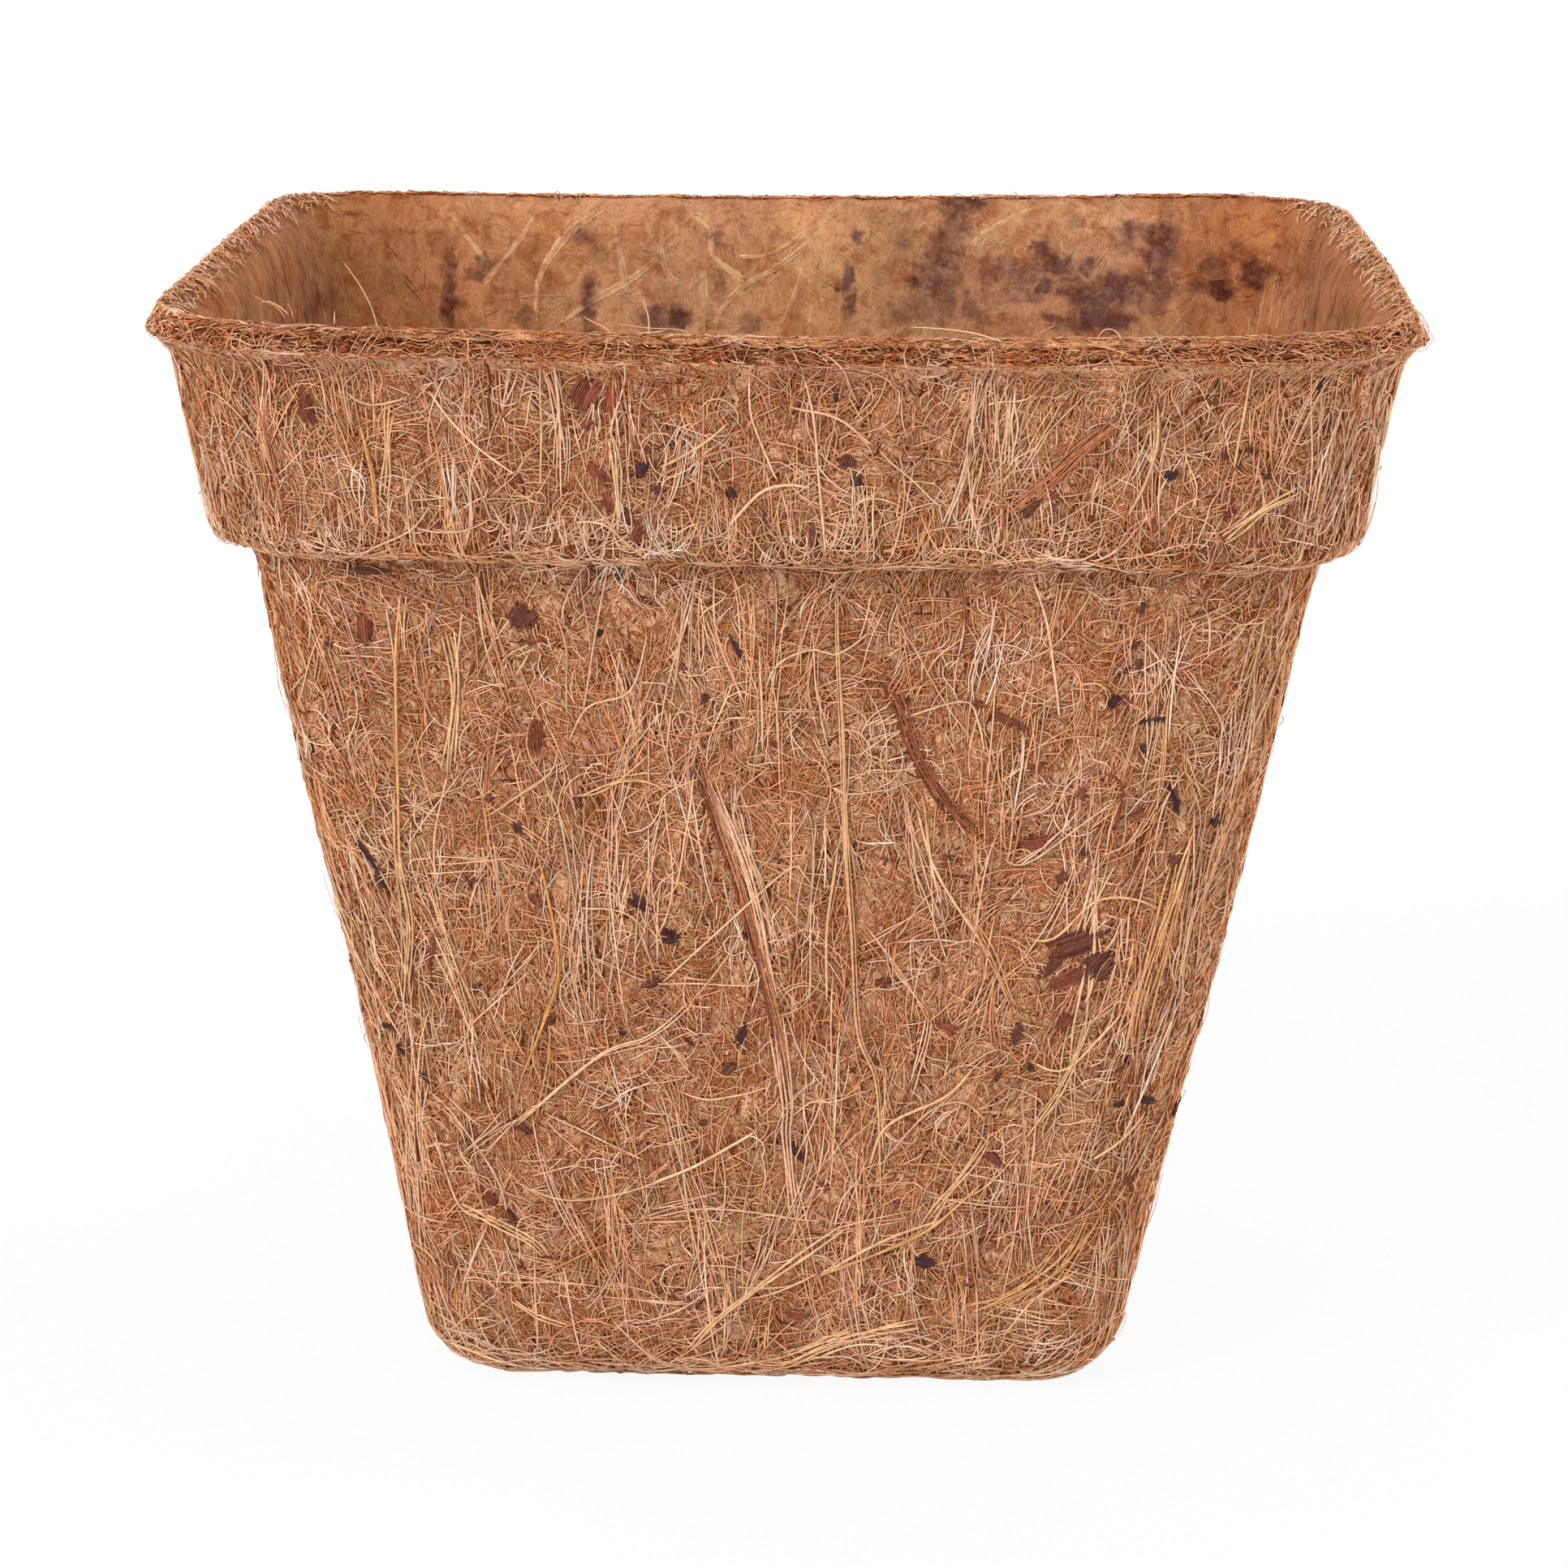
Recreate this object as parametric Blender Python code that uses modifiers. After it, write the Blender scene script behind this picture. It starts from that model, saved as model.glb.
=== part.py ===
"""A square, tapered plant pot moulded from coir felt, with the strands and husk strips that lie on it.

Metres, +Z up. The origin is the centre of the underside, and the side that faces -Y is the front.
The felt is three fibre layers, one inside the other, that end together at the trimmed lip.
"""

import math

import bmesh
import bpy
from mathutils import Vector

for old in list(bpy.data.objects):
    bpy.data.objects.remove(old)
POT = bpy.data.collections.new("coir_pot")
bpy.context.scene.collection.children.link(POT)

MM = 0.001

# Driving dimensions of the outer skin: widths are across the flats, heights are above the underside
LIP_WIDTH = 150.0 * MM
LIP_EDGE_HEIGHT = 132.0 * MM
LIP_OUT = 2.6 * MM
LIP_LEAN = math.radians(60.0)
LIP_BEND_RADIUS = 5.0 * MM
WALL_TOP_WIDTH = 126.0 * MM
STEP_HEIGHT = 106.5 * MM
STEP_OUT = 4.8 * MM
STEP_RISE = 1.0 * MM
STEP_INNER_RADIUS = 1.2 * MM
STEP_OUTER_RADIUS = 3.0 * MM
BASE_WIDTH = 84.0 * MM
BASE_EDGE_RADIUS = 8.5 * MM
BASE_CORNER_RADIUS = 11.0 * MM
LIP_CORNER_RADIUS = 22.5 * MM

# The felt's layers, from the outside in
OUTER_LAYER = 1.0 * MM
CORE_LAYER = 1.0 * MM
INNER_LAYER = 1.0 * MM
LAYER_GAP = 0.3 * MM
CORE_DEPTH = OUTER_LAYER + LAYER_GAP
INNER_DEPTH = CORE_DEPTH + CORE_LAYER + LAYER_GAP
FELT = INNER_DEPTH + INNER_LAYER
SHARPEST_INSIDE = 0.2 * MM

# What lies on the felt
SEAT_GAP = 0.3 * MM
FINE_STRAND = 0.45 * MM
STRAND = 0.55 * MM
HUSK_THICKNESS = 0.4 * MM
HUSK_WIDTH = 1.5 * MM
WIDE_HUSK_WIDTH = 1.8 * MM

# Smoothness
BEND_STEPS = 5
CORNER_STEPS = 6
STRAND_SPACING = 2.8 * MM


def outline_corners():
    """The outer skin's corners before rounding, as (half width, height), from the base to the lip."""
    lip = Vector((LIP_WIDTH / 2, LIP_EDGE_HEIGHT))
    bend = lip - Vector((LIP_OUT, LIP_OUT / math.tan(LIP_LEAN)))
    step = Vector((WALL_TOP_WIDTH / 2, STEP_HEIGHT))
    return [
        Vector((0.0, 0.0)),
        Vector((BASE_WIDTH / 2, 0.0)),
        step,
        step + Vector((STEP_OUT, STEP_RISE)),
        bend,
        lip,
    ]


def bends(thickness):
    """The rounding of each corner: its radius, whether it bulges outwards, and its least radius."""
    least = thickness + SHARPEST_INSIDE
    return [
        (BASE_EDGE_RADIUS, True, least),
        (STEP_INNER_RADIUS, False, SHARPEST_INSIDE),
        (STEP_OUTER_RADIUS, True, least),
        (LIP_BEND_RADIUS, False, SHARPEST_INSIDE),
    ]


def profile(depth, thickness=0.0):
    """The skin `depth` inside the outer one, as (half width, height) points from the base to the lip."""
    corners = outline_corners()
    runs = [(b - a).normalized() for a, b in zip(corners, corners[1:])]
    inward = [Vector((-run.y, run.x)) for run in runs]
    points = []
    for i, (radius, bulges, least) in enumerate(bends(thickness)):
        mitre = (inward[i] + inward[i + 1]) / (1.0 + inward[i].dot(inward[i + 1]))
        corner = corners[i + 1] + depth * mitre
        radius = max(radius - depth if bulges else radius + depth, least)
        turn = runs[i].angle(runs[i + 1])
        side = inward[i] if bulges else -inward[i]
        start = corner - runs[i] * radius * math.tan(turn / 2)
        centre = start + side * radius
        for k in range(BEND_STEPS + 1):
            angle = turn * k / BEND_STEPS
            points.append(centre + radius * (runs[i] * math.sin(angle) - side * math.cos(angle)))
    points.append(corners[-1] + depth * inward[-1])
    return points


def corner_centre(height):
    """How far the centre of a plan corner lies from each middle plane, at a height."""
    low = BASE_WIDTH / 2 - BASE_CORNER_RADIUS
    high = LIP_WIDTH / 2 - LIP_CORNER_RADIUS
    return low + (high - low) * height / LIP_EDGE_HEIGHT


def square_ring(half, height):
    """The points of a rounded square round the Z axis, anticlockwise from above."""
    centre = corner_centre(height)
    radius = half - centre
    ring = []
    for quarter in range(4):
        turn = math.pi / 2 * quarter
        middle = Vector((centre, centre, height))
        for k in range(CORNER_STEPS + 1):
            angle = math.pi / 2 * k / CORNER_STEPS
            point = middle + radius * Vector((math.cos(angle), math.sin(angle), 0.0))
            x = point.x * math.cos(turn) - point.y * math.sin(turn)
            y = point.x * math.sin(turn) + point.y * math.cos(turn)
            ring.append((x, y, height))
    return ring


def on_front(x, z, depth):
    """The point at x and z on the front's skin, `depth` inside the outer one, or outside it if negative."""
    points = profile(depth)
    for a, b in zip(points, points[1:]):
        if a.y < z <= b.y:
            half = a.x + (b.x - a.x) * (z - a.y) / (b.y - a.y)
    centre = corner_centre(z)
    if abs(x) <= centre:
        return Vector((x, -half, z))
    radius = half - centre
    return Vector((x, -centre - math.sqrt(radius**2 - (abs(x) - centre) ** 2), z))


def smooth(points, spacing):
    """Points at about an even spacing along the smooth curve through the given ones."""
    ends = [2 * points[0] - points[1]] + points + [2 * points[-1] - points[-2]]
    curve = []
    for before, start, end, after in zip(ends, ends[1:], ends[2:], ends[3:]):
        steps = max(1, round((end - start).length / spacing))
        for k in range(steps):
            t = k / steps
            curve.append(
                0.5
                * (
                    2 * start
                    + (end - before) * t
                    + (2 * before - 5 * start + 4 * end - after) * t**2
                    + (3 * start - before - 3 * end + after) * t**3
                )
            )
    return curve + [points[-1]]


def material(name, colour, roughness):
    """A plain finish with a colour in linear light."""
    made = bpy.data.materials.new(name)
    made.use_nodes = True
    shader = made.node_tree.nodes["Principled BSDF"]
    shader.inputs["Base Color"].default_value = (*colour, 1.0)
    shader.inputs["Roughness"].default_value = roughness
    shader.inputs["Metallic"].default_value = 0.0
    made.diffuse_color = (*colour, 1.0)
    return made


def place(name, data, finish):
    """The sub-part's object, in the pot's collection and in its own finish."""
    made = bpy.data.objects.new(name, data)
    data.materials.append(material(name, *finish))
    POT.objects.link(made)
    return made


def thicken(made, thickness):
    """Gives an open skin its thickness, on the side away from its faces' normals."""
    shell = made.modifiers.new("thickness", "SOLIDIFY")
    shell.thickness = thickness
    shell.offset = -1.0
    shell.use_even_offset = True


def felt_layer(name, depth, thickness, finish):
    """One fibre layer: an open cup whose outer skin lies `depth` inside the pot's, and grows inwards."""
    shape = bmesh.new()
    rings = []
    for half, height in profile(depth, thickness):
        rings.append([shape.verts.new(point) for point in square_ring(half, height)])
    shape.faces.new(reversed(rings[0]))
    for low, high in zip(rings, rings[1:]):
        for i in range(len(low)):
            j = (i + 1) % len(low)
            shape.faces.new((low[i], low[j], high[j], high[i]))
    data = bpy.data.meshes.new(name)
    shape.to_mesh(data)
    shape.free()
    data.shade_smooth()
    data.set_sharp_from_angle(angle=math.radians(40.0))
    thicken(place(name, data, finish), thickness)


def strand(name, route, diameter, finish):
    """A round fibre along the smooth curve through its route's points."""
    data = bpy.data.curves.new(name, "CURVE")
    data.dimensions = "3D"
    data.bevel_depth = diameter / 2
    data.bevel_resolution = 2
    data.use_fill_caps = True
    points = smooth(route, STRAND_SPACING)
    spline = data.splines.new("POLY")
    spline.points.add(len(points) - 1)
    for target, point in zip(spline.points, points):
        target.co = (*point, 1.0)
    place(name, data, finish)


def husk_strip(name, route, width, finish):
    """A flat strip of husk that lies on the front, along the smooth curve through its route's points."""
    points = smooth(route, STRAND_SPACING)
    shape = bmesh.new()
    pairs = []
    for i, point in enumerate(points):
        along = points[min(i + 1, len(points) - 1)] - points[max(i - 1, 0)]
        across = along.cross(Vector((0.0, -1.0, 0.0))).normalized() * width / 2
        edge_points = []
        for side in (point - across, point + across):
            edge_points.append(on_front(side.x, side.z, -SEAT_GAP - HUSK_THICKNESS))
        pairs.append([shape.verts.new(edge_point) for edge_point in edge_points])
    for (left, right), (next_left, next_right) in zip(pairs, pairs[1:]):
        shape.faces.new((right, next_right, next_left, left))
    data = bpy.data.meshes.new(name)
    shape.to_mesh(data)
    shape.free()
    thicken(place(name, data, finish), HUSK_THICKNESS)


def wall_place(across, up):
    """A place on the wall: per cent of its top's half width, and of the step's height, as (x, z)."""
    return WALL_TOP_WIDTH / 2 * across / 100, STEP_HEIGHT * up / 100


def band_place(across, up):
    """A place on the band: per cent of the lip's half width, and of the way from the step to the lip."""
    return LIP_WIDTH / 2 * across / 100, STEP_HEIGHT + (LIP_EDGE_HEIGHT - STEP_HEIGHT) * up / 100


def route_on_front(side, places, depth):
    """The points at places on the wall or band, `depth` inside the outer skin or outside it if negative."""
    return [on_front(*side(*place_on_side), depth) for place_on_side in places]


def rise(start, reach, steps):
    """Free points that follow a seated one, as (across, back, up) steps from it in shares of a reach."""
    return [start + Vector(step) * reach for step in steps]


# Finishes: a colour in linear light, and a roughness
FELT_TAN = ((0.50, 0.23, 0.095), 0.85)
FELT_DARK = ((0.30, 0.12, 0.045), 0.9)
FELT_PALE = ((0.56, 0.30, 0.14), 0.85)
PALE_FIBRE = ((0.68, 0.40, 0.19), 0.6)
GOLDEN_FIBRE = ((0.62, 0.28, 0.075), 0.6)
BROWN_FIBRE = ((0.36, 0.13, 0.045), 0.65)
GREY_FIBRE = ((0.26, 0.17, 0.12), 0.7)
HUSK_BROWN = ((0.24, 0.085, 0.038), 0.75)
HUSK_RED = ((0.34, 0.105, 0.04), 0.75)

# Strands over the front: name, diameter, finish, the side they lie on, and their places there
FRONT_STRANDS = [
    ("long_pale_strand", STRAND, PALE_FIBRE, wall_place, [
        (10.0, 97.6), (10.5, 90.7), (11.6, 81.3), (12.5, 69.9), (14.1, 57.3), (15.6, 45.4), (19.2, 39.5),
        (20.3, 30.4), (20.8, 22.3),
    ]),
    ("golden_strand", STRAND, GOLDEN_FIBRE, wall_place, [
        (-45.7, 66.9), (-43.5, 62.0), (-41.6, 55.7), (-41.3, 51.7), (-42.9, 47.8), (-45.7, 42.7),
        (-48.9, 37.7),
    ]),
    ("curled_strand", FINE_STRAND, PALE_FIBRE, wall_place, [
        (-38.4, 72.7), (-33.0, 74.2), (-27.6, 75.0), (-22.7, 74.5), (-19.7, 72.9),
    ]),
    ("slanting_strand", FINE_STRAND, PALE_FIBRE, wall_place, [
        (-55.7, 70.0), (-48.1, 73.1), (-42.5, 75.7), (-41.1, 78.9),
    ]),
    ("grey_strand", FINE_STRAND, GREY_FIBRE, wall_place, [(-61.6, 97.6), (-64.1, 93.7), (-67.1, 88.3)]),
    ("upright_wall_strand", STRAND, GOLDEN_FIBRE, wall_place, [
        (-69.8, 97.6), (-71.0, 89.9), (-71.3, 80.5), (-71.0, 70.9), (-71.0, 61.2),
    ]),
    ("low_pale_strand", FINE_STRAND, PALE_FIBRE, wall_place, [
        (-49.2, 25.4), (-39.8, 23.8), (-28.9, 24.8), (-19.5, 26.9), (-11.7, 29.6), (-4.8, 32.2),
    ]),
    ("low_golden_strand", STRAND, GOLDEN_FIBRE, wall_place, [
        (7.9, 14.4), (18.1, 17.1), (28.3, 20.3), (32.9, 22.4), (40.5, 27.1),
    ]),
    ("band_curled_strand", FINE_STRAND, PALE_FIBRE, band_place, [
        (-66.4, 82.7), (-64.5, 78.0), (-62.1, 76.1), (-59.2, 78.0), (-56.1, 81.2),
    ]),
    ("band_slanting_strand", STRAND, GOLDEN_FIBRE, band_place, [
        (-64.1, 68.6), (-63.2, 56.5), (-62.1, 38.0), (-61.3, 17.3),
    ]),
    ("band_corner_strand", STRAND, BROWN_FIBRE, band_place, [
        (-80.0, 78.8), (-79.1, 65.5), (-77.5, 44.7), (-76.1, 22.0),
    ]),
    ("band_edge_strand", FINE_STRAND, PALE_FIBRE, band_place, [
        (-56.7, 20.0), (-52.8, 17.6), (-48.5, 18.4), (-43.7, 24.7),
    ]),
]

# Husk strips on the front: name, width, finish, the side they lie on, and their places there
FRONT_HUSKS = [
    ("brown_husk_strip", HUSK_WIDTH, HUSK_BROWN, wall_place, [
        (17.6, 89.4), (21.9, 84.2), (25.1, 79.1), (31.3, 73.0), (37.5, 69.2), (41.0, 67.8),
    ]),
    ("red_husk_strip", HUSK_WIDTH, HUSK_RED, wall_place, [
        (-15.2, 78.7), (-11.7, 70.5), (-7.9, 63.8), (-4.1, 56.1), (-1.3, 49.7), (1.4, 43.3), (3.0, 38.3),
        (3.5, 32.3),
    ]),
    ("golden_husk_strip", WIDE_HUSK_WIDTH, GOLDEN_FIBRE, wall_place, [
        (61.9, 23.5), (58.1, 19.3), (52.7, 15.0), (45.1, 11.6), (37.1, 9.6),
    ]),
    ("band_husk_strip", HUSK_WIDTH, HUSK_RED, band_place, [
        (52.5, 77.3), (46.4, 63.9), (40.5, 46.7), (35.7, 34.9), (32.3, 27.5),
    ]),
]

# Strands that leave the inner skin under the lip and stand above it
UPRIGHT_REACH = 15.4 * MM
UPRIGHT_SEAT = [(-59.5, 60.8), (-60.1, 76.5)]
UPRIGHT_STEPS = [(-0.03, 0.02, 0.32), (-0.08, 0.06, 0.62), (-0.16, 0.09, 0.83), (-0.22, 0.08, 1.0)]
ARCH_REACH = 8.5 * MM
ARCH_SEAT = [(-13.0, 68.6), (-13.6, 80.4)]
ARCH_STEPS = [
    (-0.01, -0.06, 0.47), (-0.05, -0.11, 0.83), (-0.13, -0.12, 0.91), (-0.25, -0.12, 0.94), (-0.65, -0.12, 0.95),
    (-1.08, -0.12, 1.0),
]


def build():
    """Makes every sub-part."""
    felt_layer("outer_fibre_layer", 0.0, OUTER_LAYER, FELT_TAN)
    felt_layer("core_fibre_layer", CORE_DEPTH, CORE_LAYER, FELT_DARK)
    felt_layer("inner_fibre_layer", INNER_DEPTH, INNER_LAYER, FELT_PALE)
    for name, diameter, finish, side, places in FRONT_STRANDS:
        strand(name, route_on_front(side, places, -SEAT_GAP - diameter / 2), diameter, finish)
    for name, width, finish, side, places in FRONT_HUSKS:
        husk_strip(name, route_on_front(side, places, -SEAT_GAP - HUSK_THICKNESS), width, finish)
    inside = FELT + SEAT_GAP + FINE_STRAND / 2
    upright = route_on_front(band_place, UPRIGHT_SEAT, inside)
    upright += rise(upright[-1], UPRIGHT_REACH, UPRIGHT_STEPS)
    strand("rim_upright_strand", upright, FINE_STRAND, PALE_FIBRE)
    arch = route_on_front(band_place, ARCH_SEAT, inside)
    arch += rise(arch[-1], ARCH_REACH, ARCH_STEPS)
    strand("rim_arched_strand", arch, FINE_STRAND, PALE_FIBRE)


build()
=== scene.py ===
"""A square coir felt pot: three pressed felt layers, dressed with the fibres, strands and husk that show.

Lengths are millimetres up to the point where a mesh is made, which is in metres.
The front faces -Y. A place on the pot is (p, t): p counts sides round the pot from the front's left
corner, anticlockwise from above, and t is the way along the section, from under the base's edge, up the
outside, over the trimmed lip and down the inside.
"""

import math

import bpy
import numpy as np
from mathutils import Matrix, Vector
from mathutils.bvhtree import BVHTree

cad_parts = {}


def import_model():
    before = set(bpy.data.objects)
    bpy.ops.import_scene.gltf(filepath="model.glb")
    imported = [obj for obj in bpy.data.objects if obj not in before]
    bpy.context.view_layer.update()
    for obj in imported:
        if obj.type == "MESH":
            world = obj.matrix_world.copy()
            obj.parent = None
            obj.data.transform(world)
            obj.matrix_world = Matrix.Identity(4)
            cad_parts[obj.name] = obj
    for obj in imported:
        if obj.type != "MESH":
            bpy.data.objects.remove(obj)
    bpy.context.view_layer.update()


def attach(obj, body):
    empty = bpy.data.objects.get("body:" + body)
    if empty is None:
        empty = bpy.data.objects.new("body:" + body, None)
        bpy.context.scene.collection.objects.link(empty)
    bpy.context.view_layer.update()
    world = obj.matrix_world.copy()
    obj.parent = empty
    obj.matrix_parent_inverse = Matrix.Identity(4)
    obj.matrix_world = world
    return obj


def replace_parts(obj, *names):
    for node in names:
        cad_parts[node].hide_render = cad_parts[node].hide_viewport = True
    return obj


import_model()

MM = 0.001
# The least height of a side's fibre over the ground
GROUND = 0.22
# The height over the skin at which a fibre's painted shade ends, as if fully lit, and how far under that the
# painted shade is darkest
SURFACE = -0.05
DEPTH_SHADE = 0.42
# A random phase, from nothing to a full turn
PHASE = (0, 6.28)

# The section's sizes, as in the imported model
LIP_HALF = 75.0
LIP_HEIGHT = 132.0
LIP_OUT = 2.6
LIP_LEAN = math.radians(60.0)
WALL_TOP_HALF = 63.0
STEP_HEIGHT = 106.5
STEP_OUT = 4.8
STEP_RISE = 1.0
BASE_HALF = 42.0
BASE_CORNER = 11.0
LIP_CORNER = 22.5
FELT = 3.6
# Each bend of the section, from the base up: its radius, whether it bulges out, and its least radius
BENDS = ((8.5, 1, 1.2), (1.2, -1, 0.2), (3.0, 1, 1.2), (5.0, -1, 0.2))
BEND_STEPS = 9
# How far the flat underside and the floor inside reach from the middle
UNDERSIDE_REACH = 34.0
FLOOR_REACH = 33.0
# The spacing of the points along the section, and how far the band's lower edge rounds up over the step
SECTION_SPACING = 0.25
BROW_RISE = 2.4
# Each felt layer: its depth and thickness, and how far its trimmed end stands back from the lip's fibres
LAYERS = (
    ("outer_fibre_layer", 0.45, 0.8, 0.42),
    ("core_fibre_layer", 1.35, 1.0, 0.42),
    ("inner_fibre_layer", 2.55, 0.8, 0.12),
)

# Fibre colours in linear light
TAN = (0.755, 0.450, 0.282)
PALE = (0.685, 0.455, 0.282)
GOLD = (0.705, 0.430, 0.225)
RUST = (0.53, 0.230, 0.115)
DARK = (0.19, 0.056, 0.024)
SHEAF = (0.64, 0.335, 0.150)
CREAM = (0.585, 0.340, 0.170)
MIX = (TAN, PALE, GOLD, RUST, DARK)
# How much the tones of fibres of one colour spread
TONE_SPREAD = 0.12
# The least and the most that a fibre's colour may be
COLOUR_RANGE = (0.004, 0.92)
# Painted shade on fibres low in the felt: how a fibre's tone rises from the bottom of the felt to its
# surface, and how much faster its green and its blue do, standing in for light bounced among the fibres
DEEP_SHADE_TONE = 0.53
LIT_TONE_RISE = 0.51
SHADE_REDDENING = np.array([1.0, 2.2, 3.5])
# The painted shade over the band's lower edge: its height, its reach on fibres and on felt, and its strength
# on both
BROW_HEIGHT = 109.3
BROW_REACH = 1.5
BROW_DEPTH = 0.32
FELT_BROW_REACH = 1.6
FELT_BROW_DEPTH = 0.5
# How much darker the band is than the wall, and how much darker and redder the lip is than the band, partly
# the rim's redder tone and partly painted shade under the lip's flare; the height where each starts, and over
# what rise it comes in
BAND_DARKENING = (0.05, 107, 2)
FLARE_SHADE_AND_REDNESS = (np.array([0.03, 0.09, 0.12]), 125, 5)
# How the front lip and the other three lips are tinted
LIP_SHADE = (0.86, 0.79, 0.71)
FAR_LIP_SHADE = (1.10, 1.08, 1.04)
# Painted shade round each fibre, how much darker and redder it is at its foot than along its crown: loose,
# pressed, and in a flat streak
PAINTED_FIBRE_SHADE = (0.50, 0.25, 0.14)
PRESSED_FIBRE_SHADE = (0.9, 0.86, 0.82)
STREAK_FOOT = (1.0, 1.0, 1.0)
# The pressed inner skin's own colour, and the colour that a pale streak fades to at its edges
INNER_TONE = (0.44, 0.210, 0.094)
STREAK_EDGE = (0.505, 0.270, 0.132)


def corner_centre(z):
    """How far a plan corner's centre lies from each middle plane, at a height."""
    low = BASE_HALF - BASE_CORNER
    high = LIP_HALF - LIP_CORNER
    return low + (high - low) * z / LIP_HEIGHT


def outline(depth):
    """The section's skin at a depth, as (half width, height) from the base's middle to the lip."""
    lip = np.array([LIP_HALF, LIP_HEIGHT])
    step = np.array([WALL_TOP_HALF, STEP_HEIGHT])
    bend = lip - [LIP_OUT, LIP_OUT / math.tan(LIP_LEAN)]
    corners = np.array([[0, 0], [BASE_HALF, 0], step, step + [STEP_OUT, STEP_RISE], bend, lip])
    runs = np.diff(corners, axis=0)
    runs /= np.linalg.norm(runs, axis=1)[:, None]
    inward = np.stack([-runs[:, 1], runs[:, 0]], 1)
    points = [corners[0] + depth * inward[0]]
    for i, (radius, bulge, least) in enumerate(BENDS):
        mitre = (inward[i] + inward[i + 1]) / (1 + inward[i] @ inward[i + 1])
        corner = corners[i + 1] + depth * mitre
        radius = max(radius - depth * bulge, least)
        turn = math.acos(np.clip(runs[i] @ runs[i + 1], -1, 1))
        side = inward[i] * bulge
        centre = corner - runs[i] * radius * math.tan(turn / 2) + side * radius
        for angle in np.linspace(0, turn, BEND_STEPS):
            points.append(centre + radius * (runs[i] * math.sin(angle) - side * math.cos(angle)))
    points.append(corners[-1] + depth * inward[-1])
    return np.array(points)


def way_along(points):
    """The way along a line to each of its points."""
    return np.concatenate([[0], np.cumsum(np.linalg.norm(np.diff(points, axis=0), axis=1))])


def along(points, spacing):
    """An open line's points at an even spacing, and the way to each."""
    way = way_along(points)
    places = np.arange(0, way[-1], spacing)
    return np.stack([np.interp(places, way, points[:, k]) for k in range(points.shape[1])], 1), places


class Section:
    """The pot's section as one line, from under the base's edge over the lip to the floor inside."""

    def __init__(self):
        outer = outline(0.0)
        inner = outline(FELT)
        outer[0] = (UNDERSIDE_REACH, 0.0)
        inner[0] = (FLOOR_REACH, FELT)
        line, self.t = along(np.concatenate([outer, inner[::-1]]), SECTION_SPACING)
        tangent = np.gradient(line, axis=0)
        blur = np.ones(3) / 3
        for k in range(2):
            tangent[1:-1, k] = np.convolve(tangent[:, k], blur, "valid")
        tangent /= np.linalg.norm(tangent, axis=1)[:, None]
        self.half, self.z = line.T
        self.out = tangent[:, 1]
        self.up = -tangent[:, 0]
        self.centre = corner_centre(self.z)
        self.radius = np.maximum(self.half - self.centre, 1.5)
        self.side = 2 * self.centre + math.pi / 2 * self.radius
        lip = int(np.argmax(self.z >= LIP_HEIGHT - 0.01))
        self.lip = self.t[lip]
        self.cut = self.lip + FELT
        self.step = self.at_height(STEP_HEIGHT + STEP_RISE / 2)
        self.brow = self.at_height(STEP_HEIGHT + STEP_RISE + BROW_RISE)
        inside = self.t > self.cut + 2
        self.inner_step = self.t[inside][int(np.argmin(abs(self.z[inside] - STEP_HEIGHT)))]
        self.end = self.t[-1]

    def at_height(self, z):
        """The way up the outside to a height."""
        out = self.t <= getattr(self, "lip", self.t[-1])
        return float(np.interp(z, self.z[out], self.t[out]))

    def read(self, t, values):
        """A measure of the section at a way along it."""
        return np.interp(t, self.t, values)

    def put(self, p, t, lift=0.0):
        """Points at places on the pot, lifted off its skin, and the skin's outward normals there."""
        side = np.floor(p)
        centre = self.read(t, self.centre)
        radius = self.read(t, self.radius)
        run = (2 * (p - side) - 1) * self.read(t, self.side) / 2
        turn = np.maximum(np.abs(run) - centre, 0) / radius
        sign = np.sign(run)
        x = np.clip(run, -centre, centre) + sign * radius * np.sin(turn)
        y = -centre - radius * np.cos(turn)
        out = self.read(t, self.out)
        normal = np.stack([out * sign * np.sin(turn), -out * np.cos(turn), self.read(t, self.up)], -1)
        normal /= np.linalg.norm(normal, axis=-1)[..., None]
        point = np.stack([x, y, self.read(t, self.z)], -1) + np.asarray(lift)[..., None] * normal
        quarter = side * math.pi / 2
        return spin(point, quarter), spin(normal, quarter)

    def front(self, x, z, inside=False):
        """The (p, t) of a place on the front's skin, or on the back's inner skin as seen from the front."""
        part = self.t > self.cut if inside else self.t < self.lip
        heights, ways = self.z[part], self.t[part]
        order = np.argsort(heights)
        t = np.interp(z, heights[order], ways[order])
        centre = self.read(t, self.centre)
        radius = self.read(t, self.radius)
        over = np.clip((np.abs(x) - centre) / radius, 0, 0.999)
        run = np.sign(x) * (np.minimum(np.abs(x), centre) + radius * np.arcsin(over))
        across = run / self.read(t, self.side)
        return (2.5 - across if inside else 0.5 + across), t


def spin(vectors, angle):
    """Vectors turned about the Z axis."""
    c, s = np.cos(angle), np.sin(angle)
    x, y = vectors[..., 0], vectors[..., 1]
    return np.stack([x * c - y * s, x * s + y * c, vectors[..., 2]], -1)


SKIN = Section()

# How the trimmed lip waves: places round the pot, its rise, and how far it stands out
LIP_WAVE = (
    (0.0, 0.3, -0.1), (0.25, -0.2, 0.0), (0.5, -0.5, 0.0), (0.75, -0.1, 0.0), (1.0, 0.9, -1.6),
    (1.25, 0.4, -0.3), (1.5, 0.1, -0.3), (1.8, 0.2, -0.6), (2.0, 0.6, -1.0), (2.12, 0.5, -0.5),
    (2.3, -0.3, 0.0), (2.5, -0.8, 0.0), (2.7, -1.0, 0.0), (2.9, -1.0, -0.3), (3.0, -0.5, -0.6),
    (3.25, -0.3, -0.2), (3.5, -0.2, 0.0), (3.8, 0.1, -0.2),
)


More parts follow.
